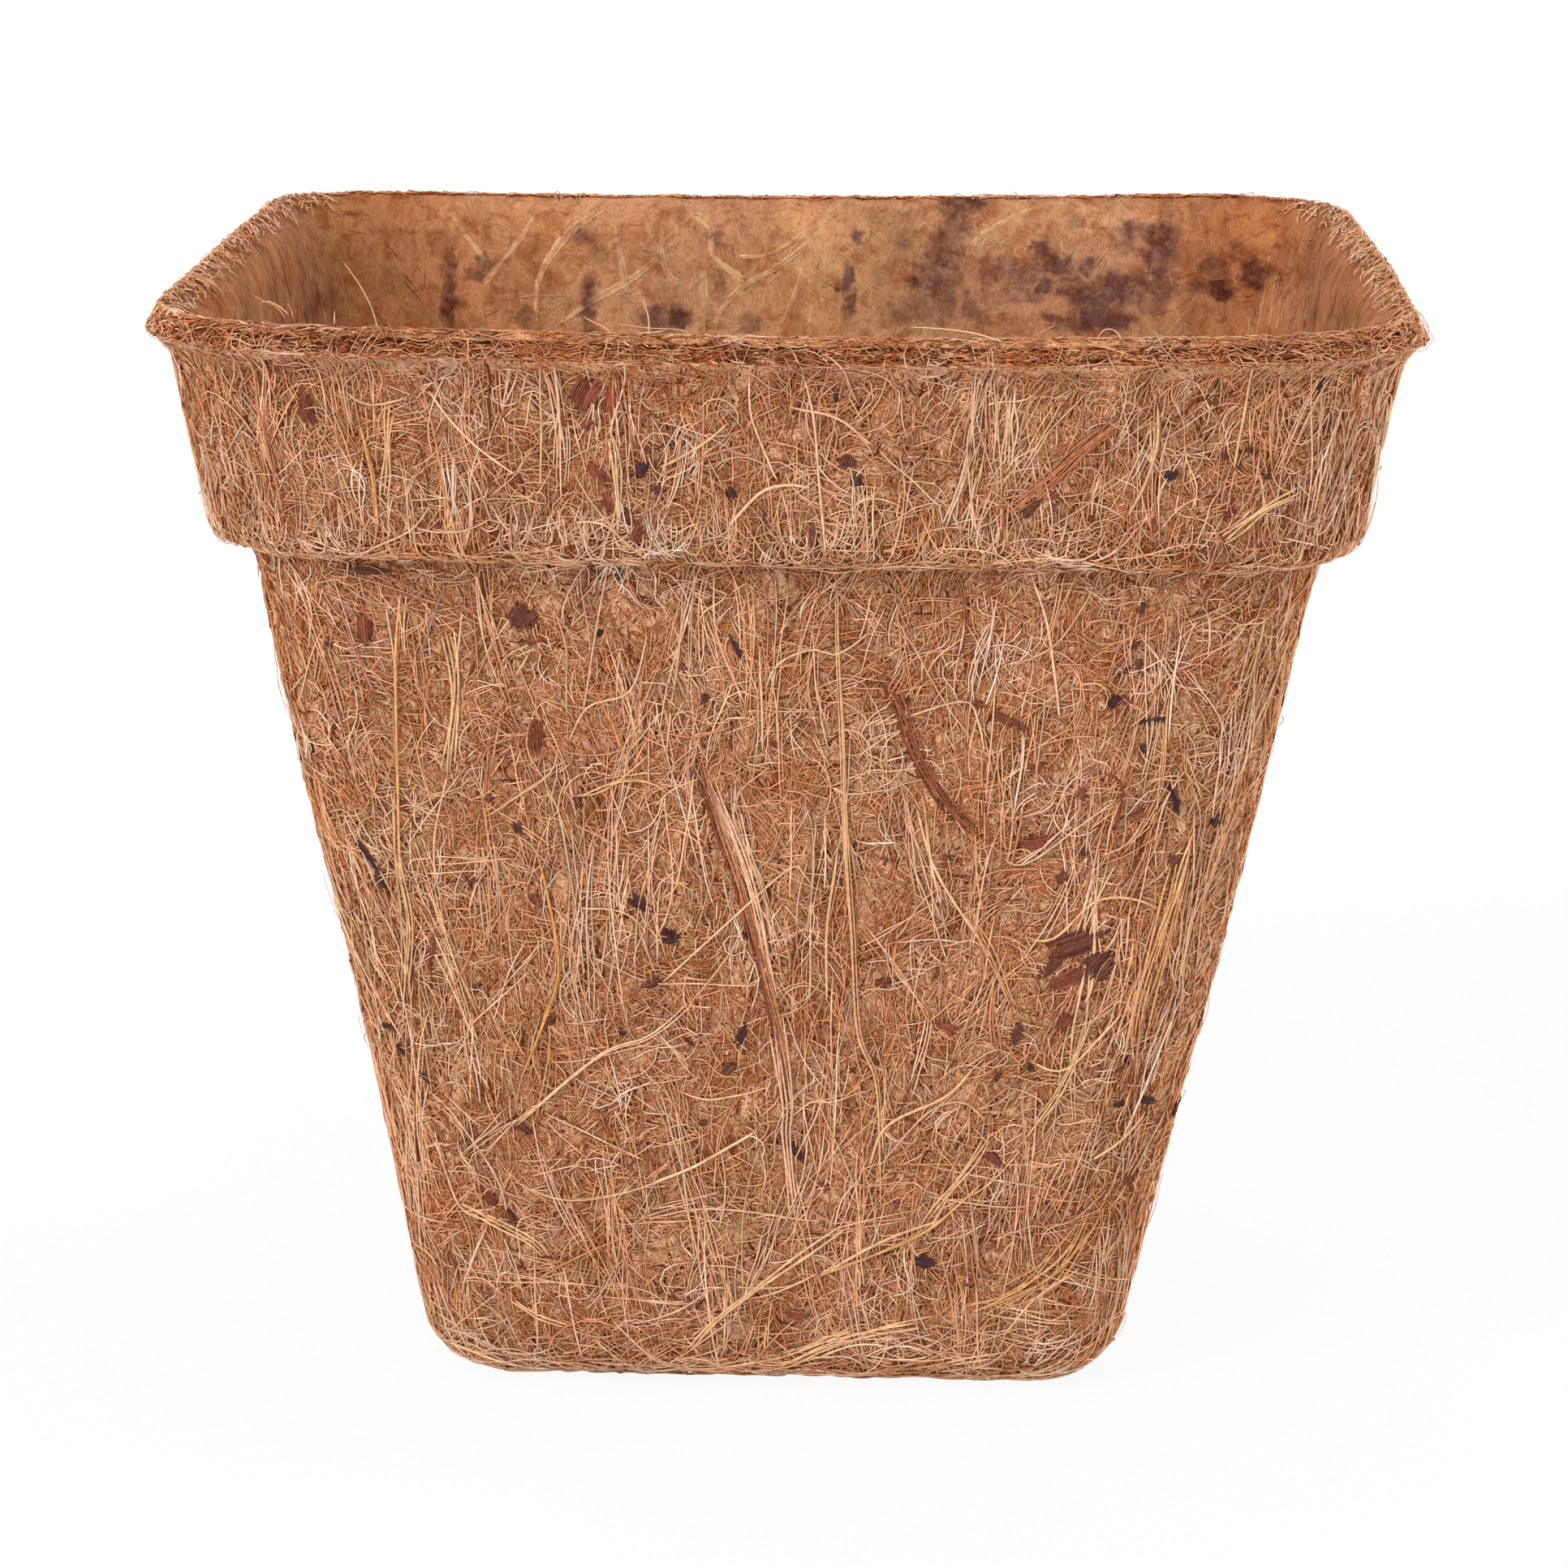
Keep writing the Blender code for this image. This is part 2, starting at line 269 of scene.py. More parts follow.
def lip_curves():
    """The lip's wave as two smooth closed curves."""
    table = np.array(LIP_WAVE)
    p = np.linspace(0, 4, 513)[:-1]
    reach = np.arange(-40, 41)
    blur = np.exp(-0.5 * (reach / 10.0) ** 2)
    blur /= blur.sum()
    curves = []
    for column in (1, 2):
        values = np.interp(p, table[:, 0], table[:, column], period=4)
        around = np.concatenate([values[-40:], values, values[:40]])
        curves.append(np.convolve(around, blur, "valid"))
    return p, curves[0], curves[1]


LIP_P, LIP_RISE, LIP_STAND = lip_curves()
# How far the pot leans to its right, in mm per mm of height, and the height that stays in place
SIDE_LEAN = 0.0085
LEAN_CENTRE = 60.0
# The height where the lip's wave starts, and the rise over which it comes in
WAVE_START = 103
WAVE_RISE = 27
# The depth of the felt's dents, and the height under which they fade to none
DENT_DEPTH = 0.28
FIRM_FOOT = 14
# Each smooth random field: about how long its lumps are, and its seed
DENTS = (55, 5)
WARMTH = (26, 21)
DULLNESS = (9, 22)
GILDING = (40, 23)
UPRIGHTNESS = (21, 31)
LEANING = (30, 41)
LUMPS = (7, 51)
SMALL_LUMPS = (3.2, 52)
FRAYING = (2.4, 53)
BROAD_SHADE = (30, 61)
FINE_SHADE = (8, 62)
GREENNESS = (24, 63)
BROWN_PATCHES = (26, 64)
SMALL_PATCHES = (9, 65)


def drift(points, scale, seed, waves=9):
    """A smooth random field over space, near -1 to 1, with lumps about as long as the scale."""
    rng = np.random.default_rng(seed)
    total = np.zeros(points.shape[:-1])
    for _ in range(waves):
        way = rng.normal(size=3)
        way *= 2 * math.pi / scale * rng.uniform(0.45, 1.5) / np.linalg.norm(way)
        total += np.sin(points @ way + rng.uniform(0, 2 * math.pi))
    return total / math.sqrt(waves / 2) * 0.7


def outward(points):
    """The way out from the pot's middle at each point, square to the wall and level."""
    x, y = points[..., 0], points[..., 1]
    centre = corner_centre(points[..., 2])
    away = np.stack([x - np.clip(x, -centre, centre), y - np.clip(y, -centre, centre)], -1)
    return away / np.maximum(np.linalg.norm(away, axis=-1), 1e-6)[..., None]


def settle(points):
    """Points moved as the real pot departs from its mould: the lip's wave and the felt's slight dents."""
    x, y, z = points[..., 0], points[..., 1], points[..., 2]
    wide = np.maximum(np.maximum(np.abs(x), np.abs(y)), 1e-6)
    across = np.select([-y >= wide, x >= wide, y >= wide], [x, y, -x], -y) / wide
    side = np.select([-y >= wide, x >= wide, y >= wide], [0, 1, 2], 3)
    p = (side + (across + 1) / 2) % 4
    share = np.clip((z - WAVE_START) / WAVE_RISE, 0, 1)
    share = share * share * (3 - 2 * share)
    dent = DENT_DEPTH * drift(points, *DENTS) * np.clip(z / FIRM_FOOT, 0, 1)
    moved = points.copy()
    out = share * np.interp(p, LIP_P, LIP_STAND, period=4) + dent
    moved[..., :2] += outward(points) * out[..., None]
    moved[..., 0] += SIDE_LEAN * (z - LEAN_CENTRE)
    moved[..., 2] += share * np.interp(p, LIP_P, LIP_RISE, period=4)
    return moved


class Bundle:
    """Fibres gathered for one piece: closed, tapered tubes, each from a line of points."""

    def __init__(self, sides=3, flat=0.9, foot=PAINTED_FIBRE_SHADE):
        self.sides = sides
        self.flat = flat
        self.foot = np.array(foot)
        self.points = []
        self.colours = []
        self.faces = []
        self.maps = []
        self.crowns = []
        self.count = 0
        self.fibres = 0

    def add(self, line, normal, wide, thick, colour):
        """Adds fibres: lines (F, n, 3), skin normals, half widths (F, n), half thicknesses and colours."""
        fibres, n, _ = line.shape
        sides = self.sides
        tangent = np.gradient(line, axis=1)
        tangent /= np.maximum(np.linalg.norm(tangent, axis=-1), 1e-9)[..., None]
        across = np.cross(tangent, normal)
        across /= np.maximum(np.linalg.norm(across, axis=-1), 1e-9)[..., None]
        above = np.cross(across, tangent)
        angles = math.pi / 2 + 2 * math.pi * np.arange(sides) / sides
        ring = (
            line[:, 1:-1, None]
            + across[:, 1:-1, None] * (wide[:, 1:-1, None, None] * np.cos(angles)[:, None])
            + above[:, 1:-1, None] * (thick[:, 1:-1, None, None] * np.sin(angles)[:, None])
        )
        rings = n - 2
        each = 2 + sides * rings
        points = np.empty((fibres, each, 3))
        points[:, 0] = line[:, 0]
        points[:, -1] = line[:, -1]
        points[:, 1:-1] = ring.reshape(fibres, -1, 3)
        shades = np.empty((fibres, each, 3))
        shades[:, 0] = colour[:, 0]
        shades[:, -1] = colour[:, -1]
        # Painted shade round each fibre: darker and redder from its crown down to its foot.
        level = (0.5 + 0.5 * np.sin(angles))[:, None]
        crown_to_foot_shade = self.foot + (1 - self.foot) * level
        shades[:, 1:-1] = (colour[:, 1:-1, None] * crown_to_foot_shade).reshape(fibres, -1, 3)
        j = np.arange(sides)
        k = (j + 1) % sides
        first = np.stack([np.zeros(sides, int), 1 + j, 1 + k], 1)
        top = 1 + (rings - 1) * sides
        last = np.stack([np.full(sides, each - 1), top + k, top + j], 1)
        quads = []
        for r in range(rings - 1):
            low, high = 1 + r * sides, 1 + (r + 1) * sides
            quads.append(np.stack([low + j, high + j, high + k, low + k], 1))
        quads = np.concatenate(quads) if quads else np.empty((0, 4), int)
        loops = np.concatenate([first.ravel(), quads.ravel(), last.ravel()])
        sizes = np.concatenate([np.full(sides, 3), np.full(len(quads), 4), np.full(sides, 3)])
        step = 1.0 / (n - 1)
        edges = [(a / sides, (a + 0.5) / sides, (a + 1) / sides) for a in j]
        first_map = np.array([[(0.0, middle), (step, low), (step, high)] for low, middle, high in edges])
        back = 1 - step
        last_map = np.array([[(1.0, middle), (back, high), (back, low)] for low, middle, high in edges])
        quad_map = np.array([
            [((r + 1) * step, low), ((r + 2) * step, low), ((r + 2) * step, high), ((r + 1) * step, high)]
            for r in range(rings - 1) for low, _, high in edges
        ])
        flat_map = np.concatenate([part.reshape(-1, 2) for part in (first_map, quad_map, last_map)])
        crown = np.zeros(each, bool)
        crown[1:-1:sides] = True
        self.crowns.append(np.tile(crown, fibres))
        start = self.count + each * np.arange(fibres)
        self.points.append(points.reshape(-1, 3))
        self.colours.append(shades.reshape(-1, 3))
        self.faces.append(((start[:, None] + loops).ravel(), np.tile(sizes, fibres)))
        self.maps.append(np.broadcast_to(flat_map, (fibres,) + flat_map.shape))
        self.count += fibres * each
        self.fibres += fibres

    def add_one(self, *parts):
        """Adds one fibre: its line, normals, half widths, half thicknesses and colours."""
        self.add(*(part[None] for part in parts))

    def piece(self, name, finish, slot, skin=None, crown=0.0, edge=0.0):
        """The fibres as one mesh object, each on its own cell of the piece's UV map.

        On a skin they lie flush: their crowns a little above it, and the rest of them just under it.
        """
        points = settle(np.concatenate(self.points)) * MM
        if skin:
            rise = np.where(np.concatenate(self.crowns), crown, edge) * MM
            for i, point in enumerate(points):
                place, normal, _, _ = skin.find_nearest(point)
                points[i] = place + normal * rise[i]
        loops = np.concatenate([face[0] for face in self.faces])
        sizes = np.concatenate([face[1] for face in self.faces])
        data = bpy.data.meshes.new(name)
        data.vertices.add(len(points))
        data.vertices.foreach_set("co", points.ravel().astype(np.float32))
        data.loops.add(len(loops))
        data.loops.foreach_set("vertex_index", loops.astype(np.int32))
        data.polygons.add(len(sizes))
        starts = np.concatenate([[0], np.cumsum(sizes)[:-1]])
        data.polygons.foreach_set("loop_start", starts.astype(np.int32))
        cells = math.ceil(math.sqrt(self.fibres))
        layout = []
        done = 0
        for part in self.maps:
            index = done + np.arange(len(part))
            corner = np.stack([index % cells, index // cells], 1)[:, None]
            layout.append(((corner + 0.06 + 0.88 * part) / cells).reshape(-1, 2))
            done += len(part)
        chart = data.uv_layers.new(name="OFBake")
        chart.data.foreach_set("uv", np.concatenate(layout).ravel().astype(np.float32))
        paint(data, np.concatenate(self.colours))
        data.update(calc_edges=True)
        return finished(bpy.data.objects.new(name, data), finish, link=True)


def paint(data, colours):
    """Gives a mesh's points their tones."""
    rgba = np.concatenate([colours, np.ones((len(colours), 1))], 1)
    tone = data.color_attributes.new("tone", "FLOAT_COLOR", "POINT")
    tone.data.foreach_set("color", rgba.ravel().astype(np.float32))


def points_of(data):
    """A mesh's points."""
    flat = np.empty(len(data.vertices) * 3, np.float32)
    data.vertices.foreach_get("co", flat)
    return flat.reshape(-1, 3)


def finished(made, finish, link=False):
    """A piece in its finish, riding on the pot."""
    if link:
        bpy.context.scene.collection.objects.link(made)
    made.data.materials.clear()
    made.data.materials.append(finish)
    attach(made, "root")
    return made


def wander(p, t, heading, length, bend, sway, steps, rng):
    """Lines of places that run through their middle places, in sides and millimetres of way."""
    s = np.linspace(-0.5, 0.5, steps) * length[:, None]
    wave = rng.uniform(0.7, 1.6, (len(p), 1)) * length[:, None]
    phase = rng.uniform(*PHASE, (len(p), 1))
    angle = heading[:, None] + bend[:, None] * s + sway[:, None] * np.sin(2 * math.pi * s / wave + phase)
    ds = (length / (steps - 1))[:, None]
    u = np.cumsum(np.cos(angle) * ds, axis=1)
    v = np.cumsum(np.sin(angle) * ds, axis=1)
    middle = steps // 2
    t_line = t[:, None] + v - v[:, middle:middle + 1]
    t_line = np.clip(t_line, 0.2, SKIN.end - 0.2)
    p_line = p[:, None] + (u - u[:, middle:middle + 1]) / SKIN.read(t_line, SKIN.side)
    return p_line, t_line


def weave(base, ripple, dip, steps, rng):
    """How high each point of a fibre lies: a gentle wave over its neighbours, with its ends tucked in."""
    s = np.linspace(-1, 1, steps)
    turns = rng.uniform(0.6, 1.8, (len(base), 1))
    wave = np.sin(math.pi * turns * s + rng.uniform(*PHASE, (len(base), 1)))
    return base[:, None] + ripple[:, None] * wave - dip[:, None] * np.abs(s) ** 5


def shades(points, lift, share, rng, steps, spread=TONE_SPREAD, deep=DEPTH_SHADE):
    """Fibre colours: a mix that drifts over the felt, with painted shade low down in it and over the band's
    lower edge, varied along each fibre.
    """
    count = len(points)
    middle = points[:, steps // 2]
    warm = drift(middle, *WARMTH)
    dull = drift(middle, *DULLNESS)
    chance = np.tile(np.array(share, float), (count, 1))
    chance[:, 1] *= np.exp(-0.5 * warm)
    chance[:, 3] *= np.exp(0.7 * warm + 0.3 * dull)
    chance[:, 4] *= np.exp(1.1 * dull)
    chance[:, 2] *= np.exp(0.3 * drift(middle, *GILDING))
    chance /= chance.sum(axis=1)[:, None]
    pick = (rng.random((count, 1)) > np.cumsum(chance, axis=1)).sum(axis=1).clip(0, 4)
    colour = np.array(MIX)[pick]
    colour = colour * np.exp(rng.normal(0, spread, (count, 1)))
    colour = colour * np.exp(rng.normal(0, 1, (count, 1)) * np.array([0.0, 0.025, 0.05]))
    # Painted shade: fibres lying lower in the felt are darker, and redder as green and blue fall faster.
    depth = np.clip(1 + (lift - SURFACE) / deep, 0, 1)
    factor = DEEP_SHADE_TONE + LIT_TONE_RISE * depth
    factor = factor * np.exp(0.08 * dull)[:, None] * (1 + rng.normal(0, 0.05, (count, steps)))
    # Painted shade over the band's lower edge, on fibres that lie low.
    brow = np.exp(-(((points[..., 2] - BROW_HEIGHT) / BROW_REACH) ** 2)) * np.clip(-4 * lift - 0.5, 0, 1)
    factor = factor * (1 - BROW_DEPTH * brow)
    # Darker on the band, and darker and redder toward the lip: partly the rim's redder tone, partly painted
    # shade under the lip's flare.
    rim_darkening = 0
    for loss, start, rise in (FLARE_SHADE_AND_REDNESS, BAND_DARKENING):
        rim_darkening = rim_darkening + np.clip((points[..., 2:] - start) / rise, 0, 1) * loss
    return np.clip(colour[:, None] * (1 - rim_darkening) * factor[..., None] ** SHADE_REDDENING, *COLOUR_RANGE)


# The half width near a fibre's ends, as a share of its half width in the middle
TIP_SHARE = 0.55


def taper(radius, steps, tip=TIP_SHARE):
    """A fibre's half width along it: full in the middle, thinner near its ends."""
    s = np.abs(np.linspace(-1, 1, steps))
    return radius[:, None] * (1 - (1 - tip) * s ** 4)


def upright_share(points, q):
    """The share of fibres that run up the wall, which varies over it and is greatest by the corners."""
    cornered = 0.5 * np.clip(np.abs(q) - 0.66, 0, 1)
    return np.clip(0.42 + 0.36 * drift(points, *UPRIGHTNESS) + cornered, 0.08, 0.95)


def scatter(rng, count, sides, low, high):
    """Random places over a stretch of the section on some sides, thinned where the pot is narrower."""
    p = rng.uniform(sides[0], sides[1], count)
    t = rng.uniform(low, high, count)
    keep = rng.random(count) < SKIN.read(t, SKIN.side) / SKIN.side.max()
    return p[keep], t[keep]


def tangle(bundle, rng, groups, together, sides, low, high, kind, steps):
    """Scatters small sheaves of side-by-side fibres over a stretch of the section on some sides."""
    length_range, radius_range, lift_range, share, calm, curl, deep = kind
    p, t = scatter(rng, groups, sides, low, high)
    groups = len(p)
    places, _ = SKIN.put(p, t)
    q = 2 * (p - np.floor(p)) - 1
    upright = rng.random(groups) < upright_share(places, q) * calm
    lean = 0.2 * drift(places, *LEANING) + 0.16 * rng.normal(size=groups) * (1.3 - np.abs(q))
    heading = np.where(upright, math.pi / 2 + lean, rng.uniform(0, math.pi, groups))
    length = rng.uniform(*length_range, groups) * np.where(upright, 1.4, 1.0)
    bend = np.where(upright, 0.06, curl) * rng.normal(size=groups)
    base = rng.uniform(*lift_range, groups)
    n = groups * together
    p, t, heading, length, bend, upright, base = (
        np.repeat(v, together) for v in (p, t, heading, length, bend, upright, base))
    across = np.tile(np.arange(together) - (together - 1) / 2, groups) * PITCH * rng.uniform(0.8, 1.5, n)
    shift = rng.normal(0, 0.22, n) * length * (together > 1)
    p = p + (-np.sin(heading) * across + np.cos(heading) * shift) / SKIN.read(t, SKIN.side)
    t = np.clip(t + np.cos(heading) * across + np.sin(heading) * shift, low - 1, high)
    heading = heading + rng.normal(0, 0.09, n)
    length = length * rng.uniform(0.7, 1.25, n)
    sway = np.where(upright, 0.32, 0.7) * rng.random(n)
    p_line, t_line = wander(p, t, heading, length, bend * rng.uniform(0.8, 1.2, n), sway, steps, rng)
    base = base + rng.uniform(-0.06, 0.06, n)
    lift = weave(base, rng.uniform(0.01, 0.08, n), rng.uniform(0.1, 0.35, n), steps, rng)
    lay(bundle, rng, p_line, t_line, lift, radius_range, share, deep=deep)


def lay(bundle, rng, p_line, t_line, lift, radius_range, share,
        spread=TONE_SPREAD, tip=TIP_SHARE, deep=DEPTH_SHADE):
    """Adds fibres along lines of places, each with its own thickness and colour."""
    n, steps = lift.shape
    points, normals = SKIN.put(p_line, t_line, lift)
    points[..., 2] = np.maximum(points[..., 2], GROUND)
    width = taper(rng.uniform(*radius_range, n), steps, tip)
    colours = shades(points, lift, share, rng, steps, spread, deep)
    bundle.add(points, normals, width * rng.uniform(1.0, 1.2, (n, 1)), width * bundle.flat, colours)


def flecks(bundle, rng, count, sides, low, high, kind):
    """Dense short fibre tops, each a spindle that rises from the felt and sinks back into it."""
    length_range, radius_range, lift_range, share, calm, _, _ = kind
    p, t = scatter(rng, count, sides, low, high)
    n = len(p)
    places, _ = SKIN.put(p, t)
    q = 2 * (p - np.floor(p)) - 1
    upright = rng.random(n) < upright_share(places, q) * calm
    heading = np.where(upright, math.pi / 2 + 0.3 * rng.normal(size=n), rng.uniform(0, math.pi, n))
    half = rng.uniform(*length_range, n)[:, None] / 2
    base = rng.uniform(*lift_range, n)
    way = np.array([-1.0, -0.5, 0.5, 1.0])
    bow = rng.normal(0, 0.28, (n, 1)) * half * (1 - way**2)
    turn = heading[:, None]
    t_line = np.clip(t[:, None] + way * half * np.sin(turn) + bow * np.cos(turn), 0.2, SKIN.cut)
    p_line = p[:, None] + (way * half * np.cos(turn) - bow * np.sin(turn)) / SKIN.read(t, SKIN.side)[:, None]
    lift = base[:, None] - way**2 * rng.uniform(0.08, 0.3, n)[:, None]
    lay(bundle, rng, p_line, t_line, lift, radius_range, share, 0.14, 0.9)


def sheaves(bundle, rng, groups, sides, low, high, lengths, heading, most):
    """Combed sheaves: groups of fibres that lie side by side and fan out slightly."""
    for _ in range(groups):
        count = int(rng.integers(3, most))
        p0 = rng.uniform(*sides)
        t0 = rng.uniform(low, high)
        turn = rng.normal(*heading)
        side = float(SKIN.read(t0, SKIN.side))
        across = (np.arange(count) - count / 2) * rng.uniform(0.2, 0.5) + rng.normal(0, 0.5, count)
        shift = rng.uniform(-0.3, 0.3, count) * lengths[1] * 0.6
        p = p0 + (-math.sin(turn) * across + math.cos(turn) * shift) / side
        t = np.clip(t0 + math.cos(turn) * across + math.sin(turn) * shift, low - 3, high + 3)
        length = rng.uniform(0.5, 1.0, count) * rng.uniform(*lengths)
        bend = rng.normal(0, 0.012) + rng.normal(0, 0.006, count)
        heads = turn + across * rng.normal(0, 0.04) + rng.normal(0, 0.07, count)
        p_line, t_line = wander(p, t, heads, length, bend, np.full(count, 0.08), LONG_STEPS, rng)
        base = rng.uniform(-0.2, 0.05) + rng.uniform(-0.08, 0.08, count)
        ripple = rng.uniform(0.02, 0.1, count)
        lift = weave(base, ripple, rng.uniform(0.2, 0.5, count), LONG_STEPS, rng)
        own = np.array(SHEAF_MIX) * np.exp(rng.normal(0, 0.5, len(MIX)))
        lay(bundle, rng, p_line, t_line, lift, (0.09, 0.16), own / own.sum())


def edging(bundle, rng, count, sides, stretch, kind):
    """Fibres that run along an edge of the pot."""
    lengths, lifts, tilt, curl, radii, share, steps = kind
    p = rng.uniform(*sides, count)
    t = rng.uniform(*stretch, count)
    length = rng.uniform(*lengths, count)
    heading = rng.normal(0, tilt, count)
    bend = rng.normal(0, curl, count)
    p_line, t_line = wander(p, t, heading, length, bend, rng.uniform(0, 0.3, count), steps, rng)
    base = rng.uniform(*lifts, count)
    ripple = rng.uniform(0.02, 0.15, count)
    lift = weave(base, ripple, rng.uniform(0.1, 0.5, count), steps, rng)
    lay(bundle, rng, p_line, t_line, lift, radii, share, 0.2)


def hooks(bundle, rng, count, sides):
    """Fibres that come down the band, curl over its lower edge and turn back up."""
    p = rng.uniform(*sides, count)
    bottom = rng.uniform(SKIN.step + 0.9, SKIN.brow + 1.5, count)
    reach = rng.uniform(1.2, 7.0, (count, 2))
    wide = rng.uniform(0.3, 1.9, count) * rng.choice([-1.0, 1.0], count)
    way = np.linspace(-1, 1, LONG_STEPS)
    turn = np.tanh(way * 2.2)
    rise = np.where(way < 0, reach[:, :1], reach[:, 1:]) * np.abs(way) ** 1.8
    u = wide[:, None] * turn + rng.normal(0, 0.5, (count, 1)) * way ** 2 * reach[:, :1] * 0.5
    t_line = bottom[:, None] + rise
    p_line = p[:, None] + u / SKIN.read(t_line, SKIN.side)
    base = rng.uniform(-0.2, 0.12, count)
    ripple = rng.uniform(0.02, 0.1, count)
    lift = weave(base, ripple, rng.uniform(0.2, 0.5, count), LONG_STEPS, rng)
    lay(bundle, rng, p_line, t_line, lift, (0.085, 0.135), HOOK_MIX)


def fuzz(bundle, rng, count, sides, stretch, reach, steps=7):
    """Fine hairs that stand off the felt in low arcs."""
    p = rng.uniform(*sides, count)
    t = rng.uniform(*stretch, count)
    length = rng.uniform(3, 9, count)
    heading = rng.uniform(0, math.pi, count)
    bend = rng.normal(0, 0.15, count)
    p_line, t_line = wander(p, t, heading, length, bend, rng.uniform(0, 0.5, count), steps, rng)
    s = np.linspace(0, 1, steps)
    rise = rng.uniform(*reach, count)[:, None]
    free = rng.random((count, 1)) < 0.4
    lift = rise * np.where(free, s, np.sin(math.pi * s)) + 0.05
    lay(bundle, rng, p_line, t_line, lift, (0.045, 0.075), FUZZ_MIX, 0.15)


# Kinds of felt fibre: lengths, half widths, heights over the skin, colour mix, share upright, curl, and the
# depth over which painted shade darkens them
FLECKS = ((2.2, 4.8), (0.095, 0.13), (-0.34, -0.04), (0.46, 0.24, 0.14, 0.12, 0.04), 0.45, 0.0, DEPTH_SHADE)
HATCH = ((1.8, 4.4), (0.085, 0.12), (-0.46, -0.16), (0.46, 0.20, 0.10, 0.20, 0.04), 0.5, 0.22, DEPTH_SHADE)
CURVES = ((4.0, 10.0), (0.085, 0.13), (-0.30, 0.0), (0.52, 0.16, 0.18, 0.135, 0.005), 0.6, 0.22, DEPTH_SHADE)
LOOPS = ((5.0, 12.0), (0.085, 0.13), (-0.24, 0.02), (0.48, 0.17, 0.22, 0.13, 0.0), 0.45, 0.30, DEPTH_SHADE)
INNER = ((4.0, 12.0), (0.10, 0.17), (-0.25, -0.19), (0.50, 0.16, 0.34, 0.0, 0.0), 0.7, 0.08, 6.0)
# Kinds of edge fibre: lengths, heights over the skin, tilt, curl, half widths, colour mix, points along each
BROW_EDGE = ((4, 13), (-0.3, 0.05), 0.22, 0.07, (0.09, 0.14), (0.44, 0.14, 0.12, 0.28, 0.02), 9)
FOOT_EDGE = ((6, 18), (-0.15, 0.12), 0.5, 0.12, (0.11, 0.17), (0.42, 0.30, 0.14, 0.14, 0.0), 9)
LIP_ENDS = ((0.8, 2.8), (-0.45, 0.02), 0.45, 0.3, (0.075, 0.125), (0.36, 0.07, 0.12, 0.37, 0.08), 4)
LIP_CURVES = ((2.0, 6.0), (-0.22, 0.0), 0.22, 0.18, (0.08, 0.12), (0.42, 0.12, 0.16, 0.28, 0.02), 7)
LIP_INNER_LINE = ((2, 7), (-0.24, 0.0), 0.08, 0.05, (0.08, 0.12), (0.46, 0.34, 0.10, 0.10, 0.0), 6)
LIP_FUR = ((1.5, 5.0), (-0.1, 0.3), 0.9, 0.25, (0.08, 0.13), (0.30, 0.45, 0.15, 0.10, 0.0), 6)
# The colour mixes of the combed sheaves, the hooks, the fine hairs and the flat skins
SHEAF_MIX = (0.50, 0.13, 0.20, 0.16, 0.01)
HOOK_MIX = (0.50, 0.14, 0.20, 0.16, 0.0)
FUZZ_MIX = (0.5, 0.3, 0.1, 0.1, 0.0)
FLAT_MIX = (0.48, 0.26, 0.12, 0.12, 0.02)
# How high the crowns and the edges of pressed fibres and of pale streaks stand over the inner skin
FLUSH_FIBRES = (0.025, -0.02)
FLUSH_STREAKS = (0.03, -0.02)
# The space between fibres that lie side by side, and the points along a long fibre
PITCH = 0.31
LONG_STEPS = 9


# Finishes

def add_node(tree, kind, sources=(), **settings):
    """A shader node: its settings, then its inputs, each a socket to link or a value."""
    made = tree.nodes.new(kind)
    for label, value in settings.items():
        setattr(made, label, value)
    pairs = sources.items() if isinstance(sources, dict) else enumerate(sources)
    for place, source in pairs:
        if isinstance(source, bpy.types.NodeSocket):
            tree.links.new(source, made.inputs[place])
        else:
            made.inputs[place].default_value = source
    return made


def calc(tree, operation, *values, clamp=False):
    """The result of a math node."""
    return add_node(tree, "ShaderNodeMath", values, operation=operation, use_clamp=clamp).outputs[0]


def vector(tree, operation, *values):
    """The result of a vector math node."""
    return add_node(tree, "ShaderNodeVectorMath", values, operation=operation).outputs[0]


def scaled(tree, place, scale):
    """A vector or a colour times a number."""
    sources = {0: place, "Scale": scale}
    return add_node(tree, "ShaderNodeVectorMath", sources, operation="SCALE").outputs[0]


def ranged(tree, value, low, high, to_low=0.0, to_high=1.0):
    """A value taken from one range to another, and kept within it."""
    return add_node(tree, "ShaderNodeMapRange", (value, low, high, to_low, to_high)).outputs[0]


def noise(tree, place, scale, detail, output="Fac", **more):
    """Soft noise at a place."""
    sources = {"Vector": place, "Scale": scale, "Detail": detail, **more}
    return add_node(tree, "ShaderNodeTexNoise", sources).outputs[output]


def mixed(tree, share, first, second, blend="MIX"):
    """One colour mixed into another, or multiplied into it, by a share."""
    sources = {"Factor": share, "A": first, "B": second}
    made = add_node(tree, "ShaderNodeMix", sources, data_type="RGBA", blend_type=blend)
    return made.outputs["Result"]


def node_group(name, inputs, outputs):
    """An empty node group with its sockets, and its two end nodes."""
    group = bpy.data.node_groups.new(name, "ShaderNodeTree")
    for label, kind, value in inputs:
        socket = group.interface.new_socket(label, in_out="INPUT", socket_type="NodeSocket" + kind)
        if value is not None:
            socket.default_value = value
    for label, kind in outputs:
        group.interface.new_socket(label, in_out="OUTPUT", socket_type="NodeSocket" + kind)
    return group, group.nodes.new("NodeGroupInput"), group.nodes.new("NodeGroupOutput")


